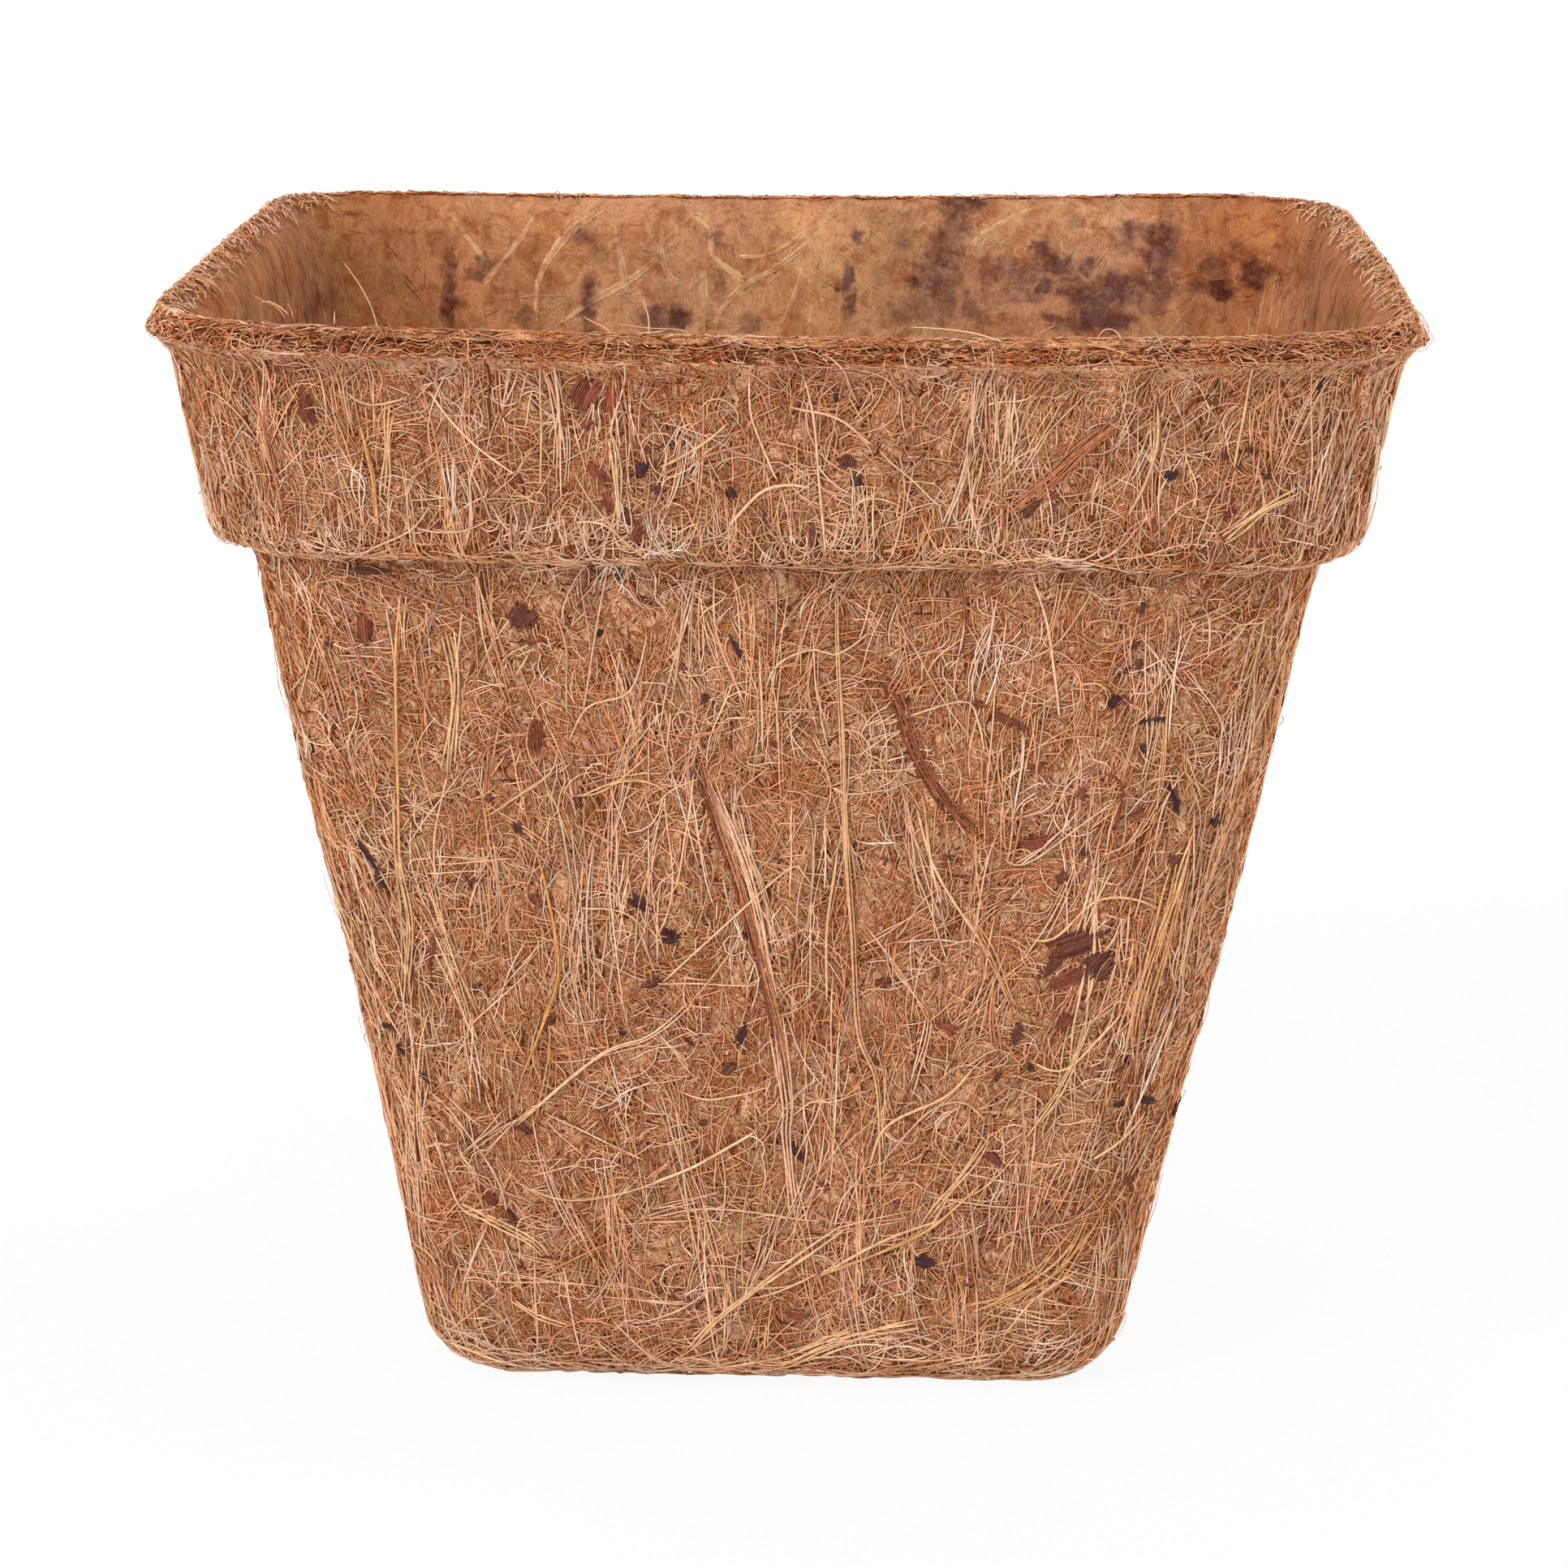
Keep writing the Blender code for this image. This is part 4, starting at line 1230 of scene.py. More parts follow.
def side_lines(bundle, rng, k):
    """Long upright fibres, pale and brown, pressed into the inner skin of a side near the rim."""
    length = rng.uniform(12, 34, SIDE_LINES)
    p = rng.uniform(k, k + 1, SIDE_LINES)
    t = rng.uniform(SKIN.cut + 2, SKIN.cut + 26, SIDE_LINES)
    heading = rng.normal(math.pi / 2, 0.07, SIDE_LINES)
    bend = rng.normal(0, 0.004, SIDE_LINES)
    sway = rng.uniform(0, 0.05, SIDE_LINES)
    p_line, t_line = wander(p, t, heading, length, bend, sway, SIDE_LINE_STEPS, rng)
    points, normals = SKIN.put(p_line, np.maximum(t_line, SKIN.cut + 0.3), -0.2)
    width = taper(rng.uniform(0.16, 0.42, SIDE_LINES), SIDE_LINE_STEPS, 0.4)
    brown = rng.random((SIDE_LINES, 1)) < 0.5
    tone = np.where(brown, np.array(SIDE_LINE_BROWN), np.array(SIDE_LINE_PALE))
    tone = tone * rng.uniform(0.7, 1.1, (SIDE_LINES, 1))
    bundle.add(points, normals, width, 0.2 * width, np.repeat(tone[:, None], SIDE_LINE_STEPS, axis=1))


def inner_fibres(k):
    """The pressed fibres of one side's inner skin, which keep little of their own colour."""
    rng = np.random.default_rng(INNER_SEED + k)
    inner = Bundle(3, 0.25, PRESSED_FIBRE_SHADE)
    tangle(inner, rng, 1200, 2, (k, k + 1), SKIN.cut + 0.3, SKIN.end - 4, INNER, 5)
    if k in (1, 3):
        side_lines(inner, rng, k)
    colours = np.concatenate(inner.colours)
    own = np.clip(colours.sum(axis=1) * 0.2, 0.3, 0.45)[:, None]
    tint = inner_tint(np.concatenate(inner.points))
    inner.colours = [(colours * own + np.array(INNER_TONE) * (1 - own)) * tint]
    inner.piece(SIDES[k] + "_inner_fibres", INNER_FIBRES, "inner_felt", INNER_SKIN, *FLUSH_FIBRES)


def lip_fibres(k):
    """The trimmed edge of one side: short crinkled ends that lie along the lip, and a few that stand up."""
    rng = np.random.default_rng(LIP_SEED + k)
    lip = Bundle()
    span = (k, k + 1)
    edging(lip, rng, 3300, span, (SKIN.lip - 0.5, SKIN.cut + 0.1), LIP_ENDS)
    edging(lip, rng, 420, span, (SKIN.lip - 0.7, SKIN.cut - 0.2), LIP_CURVES)
    edging(lip, rng, 260, span, (SKIN.cut - 0.5, SKIN.cut + 0.3), LIP_INNER_LINE)
    fuzz(lip, rng, 50 if k == 0 else 25, span, (SKIN.lip, SKIN.cut + 0.6), (0.1, 0.6), 6)
    if k in (1, 3):
        edging(lip, rng, 420, span, (SKIN.cut - 0.6, SKIN.cut + 3.2), LIP_FUR)
    shade = np.array(LIP_SHADE if k == 0 else FAR_LIP_SHADE)
    lip.colours = [colours * shade for colours in lip.colours]
    lip.piece(SIDES[k] + "_lip_fibres", FIBRES, "core_felt")


for k in range(4):
    side_fibres(k)
    inner_fibres(k)
    lip_fibres(k)


def flat_fibres(name, height, up, count, reach, finish, slot):
    """Fibres on a level skin: the underside, or the floor inside."""
    rng = np.random.default_rng(FLAT_SEED + up)
    bundle = Bundle()
    steps = 6
    place = rng.uniform(-reach, reach, (count, 2))
    length = rng.uniform(5, 14, count)[:, None]
    heading = rng.uniform(0, math.pi, count)[:, None]
    turn = heading + rng.normal(0, 0.1, (count, 1)) * np.linspace(-0.5, 0.5, steps) * length
    step = length / (steps - 1)
    x = place[:, :1] + np.cumsum(np.cos(turn) * step, axis=1) - length / 2
    y = place[:, 1:] + np.cumsum(np.sin(turn) * step, axis=1) - length / 2
    inside = (np.abs(x).max(axis=1) < reach + 1) & (np.abs(y).max(axis=1) < reach + 1)
    x, y = x[inside], y[inside]
    n = len(x)
    base = rng.uniform(-0.35, -0.1, n)
    lift = weave(base, rng.uniform(0.02, 0.08, n), rng.uniform(0.1, 0.3, n), steps, rng)
    points = np.stack([x, y, height + up * lift], -1)
    normals = np.broadcast_to(np.array([0.0, 0.0, float(up)]), points.shape)
    width = taper(rng.uniform(0.10, 0.16, n), steps)
    colours = shades(points, lift, FLAT_MIX, rng, steps)
    bundle.add(points, normals, width, width, colours)
    bundle.piece(name, finish, slot)


flat_fibres("underside_fibres", 0.08, -1, 900, UNDERSIDE_REACH, FIBRES, "outer_felt")
flat_fibres("floor_fibres", FELT, 1, 1300, FLOOR_REACH, INNER_FIBRES, "inner_felt")


# Named strands and husk strips, at the places the model gives them

def wall_place(across, up):
    """A place on the wall: per cent of its top's half width, and of the step's height, as (x, z)."""
    return WALL_TOP_HALF * across / 100, STEP_HEIGHT * up / 100


def band_place(across, up):
    """A place on the band: per cent of the lip's half width, and of the way from the step to the lip."""
    return LIP_HALF * across / 100, STEP_HEIGHT + (LIP_HEIGHT - STEP_HEIGHT) * up / 100


# The spacing of the points on a smooth curve before it is evened out, and then along a strand's route and
# along a loose hair of the rim
CURVE_SPACING = 0.4
ROUTE_SPACING = 0.8
HAIR_SPACING = 0.6


def smooth(points, spacing):
    """Points at about an even spacing along the smooth curve through the given ones."""
    points = np.asarray(points, float)
    ends = np.concatenate([[2 * points[0] - points[1]], points, [2 * points[-1] - points[-2]]])
    curve = []
    for before, start, end, after in zip(ends, ends[1:], ends[2:], ends[3:]):
        square = 2 * before - 5 * start + 4 * end - after
        cube = 3 * start - before - 3 * end + after
        count = max(2, int(np.linalg.norm(end - start) / CURVE_SPACING))
        for f in np.linspace(0, 1, count, endpoint=False):
            curve.append(0.5 * (2 * start + (end - before) * f + square * f**2 + cube * f**3))
    curve.append(points[-1])
    curve = np.array(curve)
    way = way_along(curve)
    steps = max(5, round(way[-1] / spacing) + 1)
    return np.stack([np.interp(np.linspace(0, way[-1], steps), way, column) for column in curve.T], 1)


def beside(route, offset, trim, steps, rng, wobble=0.1):
    """A line of places beside a route of (x, z) points on the front, trimmed at its ends."""
    way = np.linspace(trim[0], 1 - trim[1], steps)
    whole = np.linspace(0, 1, len(route))
    x = np.interp(way, whole, route[:, 0])
    z = np.interp(way, whole, route[:, 1])
    dx, dz = np.gradient(x), np.gradient(z)
    size = np.maximum(np.hypot(dx, dz), 1e-6)
    shift = offset + wobble * np.sin(way * rng.uniform(4, 11) + rng.uniform(*PHASE))
    return x - dz / size * shift, z + dx / size * shift


def strand_line(bundle, rng, route, steps, offset, radius, trim, lift, colour, inside=False, flat=0.8):
    """Adds one fibre beside a route of (x, z) points on the front, or on the back's inner skin."""
    x, z = beside(route, offset, trim, steps, rng, 0.35 * abs(offset) + 0.06)
    p, t = SKIN.front(x, z, inside)
    s = np.linspace(-1, 1, steps)
    wave = 0.1 * flat * np.sin(s * rng.uniform(3, 8) + rng.uniform(*PHASE))
    height = lift + radius * flat * 0.75 + wave - 0.55 * flat * s**10
    points, normals = SKIN.put(p, t, height)
    width = radius * (1 - 0.7 * s**6) * (1 + 0.12 * np.sin(s * rng.uniform(15, 30)))
    tone = np.array(colour) * np.exp(rng.normal(0, 0.10)) * np.exp(rng.normal(0, 0.07, (steps, 1)))
    tone = np.clip(tone, *COLOUR_RANGE)
    bundle.add_one(points, normals, width, flat * width, tone)


def route_length(route):
    """The length of a route."""
    return np.linalg.norm(np.diff(route, axis=0), axis=1).sum()


def own_draws(name):
    """A piece's own random draws, which depend on its name alone."""
    return np.random.default_rng(sum(map(ord, name)))


def strand_bundle(name, route, members, lift, colour, slot):
    """A strand: fibres laid beside each other along a route, as (offset, half width, trim) each."""
    rng = own_draws(name)
    bundle = Bundle(6)
    steps = int(np.clip(route_length(route) / 1.1, 8, 60))
    for offset, radius, trim in members:
        strand_line(bundle, rng, route, steps, offset, radius, trim, lift, colour)
    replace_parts(bundle.piece(name + "_fibres", STRANDS, slot), name)


def drawn_strands(name, rows, lifts, slot):
    """Strands that the eye can follow, as one piece: tone, half width, fibres side by side, and places."""
    rng = own_draws(name)
    bundle = Bundle(4)
    for colour, radius, count, places in rows:
        route = smooth(places, ROUTE_SPACING)
        steps = int(np.clip(route_length(route), 7, 34))
        for i in range(count):
            trim = rng.uniform(0, 0.14, 2) * (count > 1)
            offset = 2.4 * radius * (i - (count - 1) / 2)
            strand_line(bundle, rng, route, steps, offset, radius, trim, rng.uniform(*lifts), colour)
    bundle.piece(name, STRANDS, slot)


def inner_streaks(name, rows):
    """Soft flat streaks pressed into the back's inner skin: tone, half width and places."""
    rng = own_draws(name)
    bundle = Bundle(4, 0.05, STREAK_FOOT)
    for colour, radius, places in rows:
        route = smooth(places, ROUTE_SPACING)
        steps = int(np.clip(route_length(route), 7, 34))
        for across, wide in ((-0.4, 0.9), (0.45, 0.8), (0.0, 0.6)):
            trim = rng.uniform(0, 0.1, 2)
            offset, half = across * radius, wide * radius
            strand_line(bundle, rng, route, steps, offset, half, trim, -0.2, colour, True, 0.05)
            tones = bundle.colours[-1]
            edges = tones[1:-1].reshape(-1, bundle.sides, 3)
            edges[:, 1::2] = 0.2 * edges[:, 1::2] + np.multiply(STREAK_EDGE, 0.8)
            tones[[0, -1]] = STREAK_EDGE
    bundle.piece(name, INNER_FIBRES, "inner_felt", INNER_SKIN, *FLUSH_STREAKS)


# Makes of strand: each fibre's offset from the route, half width, and how much is trimmed off its ends
SINGLE = ((0.0, 0.17, (0.0, 0.0)), (0.18, 0.08, (0.05, 0.3)), (-0.18, 0.075, (0.35, 0.02)))
FINE = ((0.0, 0.13, (0.0, 0.0)), (0.14, 0.065, (0.2, 0.25)))
SPLIT = ((0.0, 0.16, (0.0, 0.0)), (0.22, 0.10, (0.08, 0.12)), (-0.22, 0.08, (0.0, 0.35)))

# Strands over the front: name, make, colour, slot, the side they lie on, and their places there
FRONT_STRANDS = [
    ("long_pale_strand", SPLIT, (0.60, 0.345, 0.175), "pale_fibre", wall_place, [
        (10.0, 97.6), (10.5, 90.7), (11.6, 81.3), (12.5, 69.9), (14.1, 57.3), (15.6, 45.4), (19.2, 39.5),
        (20.3, 30.4), (20.8, 22.3),
    ]),
    ("golden_strand", SINGLE, (0.62, 0.30, 0.10), "golden_fibre", wall_place, [
        (-45.7, 66.9), (-43.5, 62.0), (-41.6, 55.7), (-41.3, 51.7), (-42.9, 47.8), (-45.7, 42.7),
        (-48.9, 37.7),
    ]),
    ("curled_strand", FINE, (0.58, 0.33, 0.155), "pale_fibre", wall_place, [
        (-38.4, 72.7), (-33.0, 74.2), (-27.6, 75.0), (-22.7, 74.5), (-19.7, 72.9),
    ]),
    ("slanting_strand", FINE, (0.60, 0.35, 0.185), "pale_fibre", wall_place, [
        (-55.7, 70.0), (-48.1, 73.1), (-42.5, 75.7), (-41.1, 78.9),
    ]),
    ("grey_strand", FINE, (0.27, 0.17, 0.13), "grey_fibre", wall_place, [
        (-61.6, 97.6), (-64.1, 93.7), (-67.1, 88.3),
    ]),
    ("upright_wall_strand", SINGLE, (0.60, 0.31, 0.12), "golden_fibre", wall_place, [
        (-69.8, 97.6), (-71.0, 89.9), (-71.3, 80.5), (-71.0, 70.9), (-71.0, 61.2),
    ]),
    ("low_pale_strand", FINE, (0.62, 0.37, 0.19), "pale_fibre", wall_place, [
        (-49.2, 25.4), (-39.8, 23.8), (-28.9, 24.8), (-19.5, 26.9), (-11.7, 29.6), (-4.8, 32.2),
    ]),
    ("low_golden_strand", SINGLE, (0.60, 0.33, 0.14), "golden_fibre", wall_place, [
        (7.9, 14.4), (18.1, 17.1), (28.3, 20.3), (32.9, 22.4), (40.5, 27.1),
    ]),
    ("band_curled_strand", FINE, (0.66, 0.41, 0.23), "pale_fibre", band_place, [
        (-66.4, 82.7), (-64.5, 78.0), (-62.1, 76.1), (-59.2, 78.0), (-56.1, 81.2),
    ]),
    ("band_slanting_strand", SINGLE, (0.60, 0.30, 0.11), "golden_fibre", band_place, [
        (-64.1, 68.6), (-63.2, 56.5), (-62.1, 38.0), (-61.3, 17.3),
    ]),
    ("band_corner_strand", SINGLE, (0.44, 0.17, 0.07), "brown_fibre", band_place, [
        (-80.0, 78.8), (-79.1, 65.5), (-77.5, 44.7), (-76.1, 22.0),
    ]),
    ("band_edge_strand", FINE, (0.62, 0.37, 0.21), "pale_fibre", band_place, [
        (-56.7, 20.0), (-52.8, 17.6), (-48.5, 18.4), (-43.7, 24.7),
    ]),
]

# Husk strips on the front: name, width, colours across, slot, the side they lie on, and their places there
FRONT_HUSKS = [
    ("brown_husk_strip", 1.5, ((0.20, 0.06, 0.03), (0.33, 0.115, 0.055)), "brown_husk", wall_place, [
        (17.6, 89.4), (21.9, 84.2), (25.1, 79.1), (31.3, 73.0), (37.5, 69.2), (41.0, 67.8),
    ]),
    ("red_husk_strip", 1.1, ((0.25, 0.072, 0.034), (0.56, 0.26, 0.13)), "red_husk", wall_place, [
        (-16.2, 82.5), (-15.2, 78.7), (-11.7, 70.5), (-7.9, 63.8), (-4.1, 56.1), (-1.3, 49.7), (1.4, 43.3),
        (3.0, 38.3), (3.5, 32.3),
    ]),
    ("golden_husk_strip", 3.4, ((0.60, 0.33, 0.145), (0.54, 0.27, 0.11)), "golden_fibre", wall_place, [
        (61.9, 23.5), (58.1, 19.3), (52.7, 15.0), (45.1, 11.6), (37.1, 9.6),
    ]),
    ("band_husk_strip", 1.5, ((0.42, 0.17, 0.08), (0.38, 0.14, 0.065)), "red_husk", band_place, [
        (52.5, 77.3), (46.4, 63.9), (40.5, 46.7), (35.7, 34.9), (32.3, 27.5),
    ]),
]

STRANDS = fibre_finish("strand", roughness=0.65, specular=0.05, amount=0.2, scale=1800.0)
# How far over the skin a named strand lies
STRAND_LIFT = 0.06

for name, make, colour, slot, side, places in FRONT_STRANDS:
    route = smooth([side(*place) for place in places], ROUTE_SPACING)
    strand_bundle(name, route, make, STRAND_LIFT, colour, slot)


def husk_strip(name, width, colours, slot, route):
    """A husk strip: flat fibres side by side, ragged at its ends, darker to one side."""
    rng = own_draws(name)
    bundle = Bundle(4)
    steps = int(np.clip(route_length(route) / 1.3, 10, 50))
    broad = width > 3
    count = 11 if broad else 8
    loose = 0.35 if broad else 0.16
    for i in range(count):
        across = (i - (count - 1) / 2) / (count - 1)
        trim = rng.uniform(0, loose, 2) * (0.4 + 1.4 * abs(across))
        x, z = beside(route, across * width, trim, steps, rng, 0.12 * width)
        p, t = SKIN.front(x, z)
        s = np.linspace(-1, 1, steps)
        height = -0.04 + 0.10 * (1 - 4 * across**2) + 0.05 * np.sin(s * 9 + rng.uniform(0, 6)) - 0.35 * s**10
        points, normals = SKIN.put(p, t, height)
        size = min(width / count, 0.17) * rng.uniform(0.65, 0.95) * (1 - 0.6 * s**8)
        tone = np.array(colours[0]) * (0.5 - across) + np.array(colours[1]) * (0.5 + across)
        tone = tone * np.exp(rng.normal(0, 0.16)) * np.exp(rng.normal(0, 0.06, (steps, 1)))
        bundle.add_one(points, normals, size, np.minimum(size, 0.14), tone)
    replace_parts(bundle.piece(name + "_fibres", HUSK, slot), name)


for name, width, colours, slot, side, places in FRONT_HUSKS:
    husk_strip(name, width, colours, slot, smooth([side(*place) for place in places], ROUTE_SPACING))


# Strands that the eye can follow on the front: tone, half width in mm, fibres side by side, and (x, height)
BAND_LINES = (
    (PALE, 0.15, 1, ((-24.3, 112.1), (-22.8, 112.6), (-20.4, 112.3), (-18.1, 110.3), (-16.3, 108.8))),
    (GOLD, 0.15, 1, ((-19.2, 120.5), (-19.0, 114.3), (-20.4, 108.7))),
    (TAN, 0.16, 1, ((-40.5, 128), (-36, 122.5), (-30, 117.5))),
    (GOLD, 0.15, 3, ((-44.5, 127), (-45.5, 113.5))),
    (RUST, 0.14, 1, ((-41.5, 130.5), (-39.5, 122.5), (-38.5, 114), (-39, 108.5))),
    (PALE, 0.13, 1, ((-50.5, 106), (-47.5, 108.5), (-42.5, 111), (-40, 114.5))),
    (TAN, 0.13, 1, ((-56.5, 110), (-52.5, 108.5), (-46.5, 108))),
    (TAN, 0.13, 1, ((-34.5, 121.5), (-35.5, 117.5), (-35.5, 112.5), (-36.5, 108))),
    (GOLD, 0.2, 1, ((-14.5, 119), (-9.5, 122), (-6, 125))),
    (RUST, 0.2, 1, ((-14.5, 118), (-8.5, 121), (-2.5, 122.5))),
    (PALE, 0.14, 1, ((-4, 131), (-3.5, 125), (-0.5, 117.5))),
    (TAN, 0.15, 1, ((2, 131), (3.5, 124), (5, 108))),
    (TAN, 0.18, 1, ((0, 127), (6, 125.5), (10.5, 122))),
    (TAN, 0.22, 1, ((-6.5, 112), (-2.5, 116.5), (1, 117.5), (3.5, 117))),
    (PALE, 0.13, 3, ((-20.5, 125), (-19, 120.5), (-18.5, 110))),
    (PALE, 0.13, 1, ((-18, 132.5), (-18, 129.5), (-19.5, 124.5), (-19.5, 122))),
    (PALE, 0.13, 1, ((-22.5, 132), (-21.5, 126), (-22.5, 120))),
    (GOLD, 0.14, 1, ((-27.5, 131.5), (-27.5, 116))),
    (PALE, 0.18, 1, ((-26, 131.5), (-25, 121.5))),
    (TAN, 0.13, 1, ((-24, 119), (-21.5, 114.5), (-16.5, 108.5))),
    (RUST, 0.14, 1, ((-9, 129), (-9.5, 116), (-11.5, 108.5))),
    (TAN, 0.13, 1, ((-0.5, 117.5), (1, 112), (0.5, 107.5))),
    (TAN, 0.14, 1, ((24, 130), (21, 124.5), (21, 118.5), (22.5, 110.5))),
    (PALE, 0.13, 1, ((10.5, 122), (18.5, 114.5))),
    (GOLD, 0.22, 1, ((42, 127.5), (42, 121), (39, 113.5))),
    (PALE, 0.13, 5, ((25.5, 130), (25.5, 118.5))),
    (GOLD, 0.18, 1, ((52.5, 132), (51, 119))),
    (GOLD, 0.16, 3, ((49.5, 110.5), (54.5, 114.5), (60.5, 117))),
    (PALE, 0.13, 1, ((59.5, 132), (60.5, 118.5), (59.5, 110.5))),
    (RUST, 0.13, 1, ((65.5, 122.5), (63.5, 117), (61.5, 114))),
    (TAN, 0.13, 1, ((1, 108), (6, 106), (12.5, 107.5), (20.5, 107.5))),
)

HIGH_LINES = (
    (PALE, 0.13, 1, ((-46, 101.5), (-45, 95), (-45, 86.5))),
    (GOLD, 0.17, 4, ((-39, 100), (-38, 94), (-38, 88), (-39, 79.5))),
    (PALE, 0.13, 1, ((-37, 101), (-39, 82.5))),
    (TAN, 0.13, 1, ((-20, 107.5), (-23.5, 85.5))),
    (GOLD, 0.13, 1, ((-26.5, 101.5), (-25, 96), (-25, 87))),
    (TAN, 0.15, 1, ((-15.5, 98.5), (-17.5, 91), (-22.5, 89), (-25, 84))),
    (PALE, 0.14, 1, ((11.5, 87), (21, 90.5), (23, 88), (24, 83))),
    (PALE, 0.14, 1, ((-2, 91), (-0.5, 94.5), (3.5, 96.5), (6.5, 96), (10.5, 99))),
    (TAN, 0.14, 1, ((-8, 106), (-7.5, 98.5), (-4, 89))),
    (PALE, 0.13, 1, ((-2.5, 97), (-2, 83.5))),
    (RUST, 0.14, 1, ((-15.5, 86.5), (-10.5, 85.5), (-5, 87))),
    (GOLD, 0.14, 1, ((27, 95), (32, 98), (36, 104.5))),
    (TAN, 0.17, 1, ((28.5, 106.5), (31, 98.5), (32.5, 88))),
    (DARK, 0.15, 1, ((37, 82), (40, 80.5), (39.5, 74))),
    (GOLD, 0.14, 1, ((-25, 77.5), (-20.5, 78.5), (-15, 83.5))),
)

MIDDLE_LINES = (
    (SHEAF, 0.15, 7, ((48.1, 71.8), (46.4, 64.6), (44.7, 58.2), (43.2, 51.8), (42.7, 45.3))),
    (PALE, 0.16, 1, ((37.7, 72.9), (37.5, 66.0), (37.1, 54.2), (36.9, 46.3))),
    (RUST, 0.15, 3, ((26.0, 56.2), (25.8, 51.4), (26.2, 48.2), (27.1, 44.5))),
    (SHEAF, 0.15, 3, ((21.4, 64.5), (24.4, 60.9), (27.5, 53.6), (29.6, 50.5))),
    (RUST, 0.16, 1, ((23.1, 65.3), (23.2, 67.4), (25.2, 69.1), (27.1, 69.5), (32.9, 69.6))),
    (PALE, 0.14, 1, ((37.6, 64.4), (36.9, 60.3), (36.5, 56.0), (35.5, 49.5), (35.4, 46.2))),
    (RUST, 0.19, 1, ((-40, 65), (-36, 59.5), (-39.5, 51))),
    (GOLD, 0.14, 4, ((-45, 80.5), (-45, 69.5), (-44, 61), (-45, 50.5))),
    (TAN, 0.13, 1, ((-39, 80.5), (-40.5, 72.5), (-40.5, 65.5))),
    (GOLD, 0.14, 1, ((-52, 74), (-50, 64.5), (-49, 52))),
    (TAN, 0.13, 1, ((-19, 75.5), (-19.5, 60))),
    (TAN, 0.13, 1, ((-24, 63.5), (-18, 63), (-15, 60))),
    (PALE, 0.15, 1, ((-14, 53.5), (0.5, 68.5), (3, 68.5), (4.5, 66))),
    (GOLD, 0.18, 1, ((7, 72), (6, 62), (6, 51.5))),
    (TAN, 0.13, 1, ((4, 66), (4, 51.5))),
    (TAN, 0.13, 1, ((1.5, 77.5), (1.5, 64.5))),
    (TAN, 0.13, 3, ((-8, 81), (-2.5, 64.5), (0, 51.5))),
    (TAN, 0.2, 1, ((16, 77.5), (19, 68.5), (26.5, 56.5))),
    (TAN, 0.13, 1, ((17, 81), (22.5, 73))),
    (GOLD, 0.13, 1, ((-15, 54), (-2, 54))),
    (PALE, 0.13, 1, ((-10, 51.5), (-6, 57.5), (-3.5, 62.5))),
    (TAN, 0.13, 1, ((-13.5, 78.5), (-12.5, 65.5), (-15, 58))),
    (TAN, 0.13, 1, ((-10, 80.5), (-11.5, 69), (-12.5, 66))),
    (PALE, 0.13, 1, ((26, 71), (29.5, 70.5), (39.5, 78.5))),
    (GOLD, 0.2, 1, ((29.5, 60.5), (33, 61), (37.5, 65.5), (42, 66), (45.5, 64.5))),
    (TAN, 0.22, 1, ((37.5, 65), (37.5, 55), (36.5, 52))),
    (GOLD, 0.17, 2, ((49, 75), (44.5, 58.5))),
)

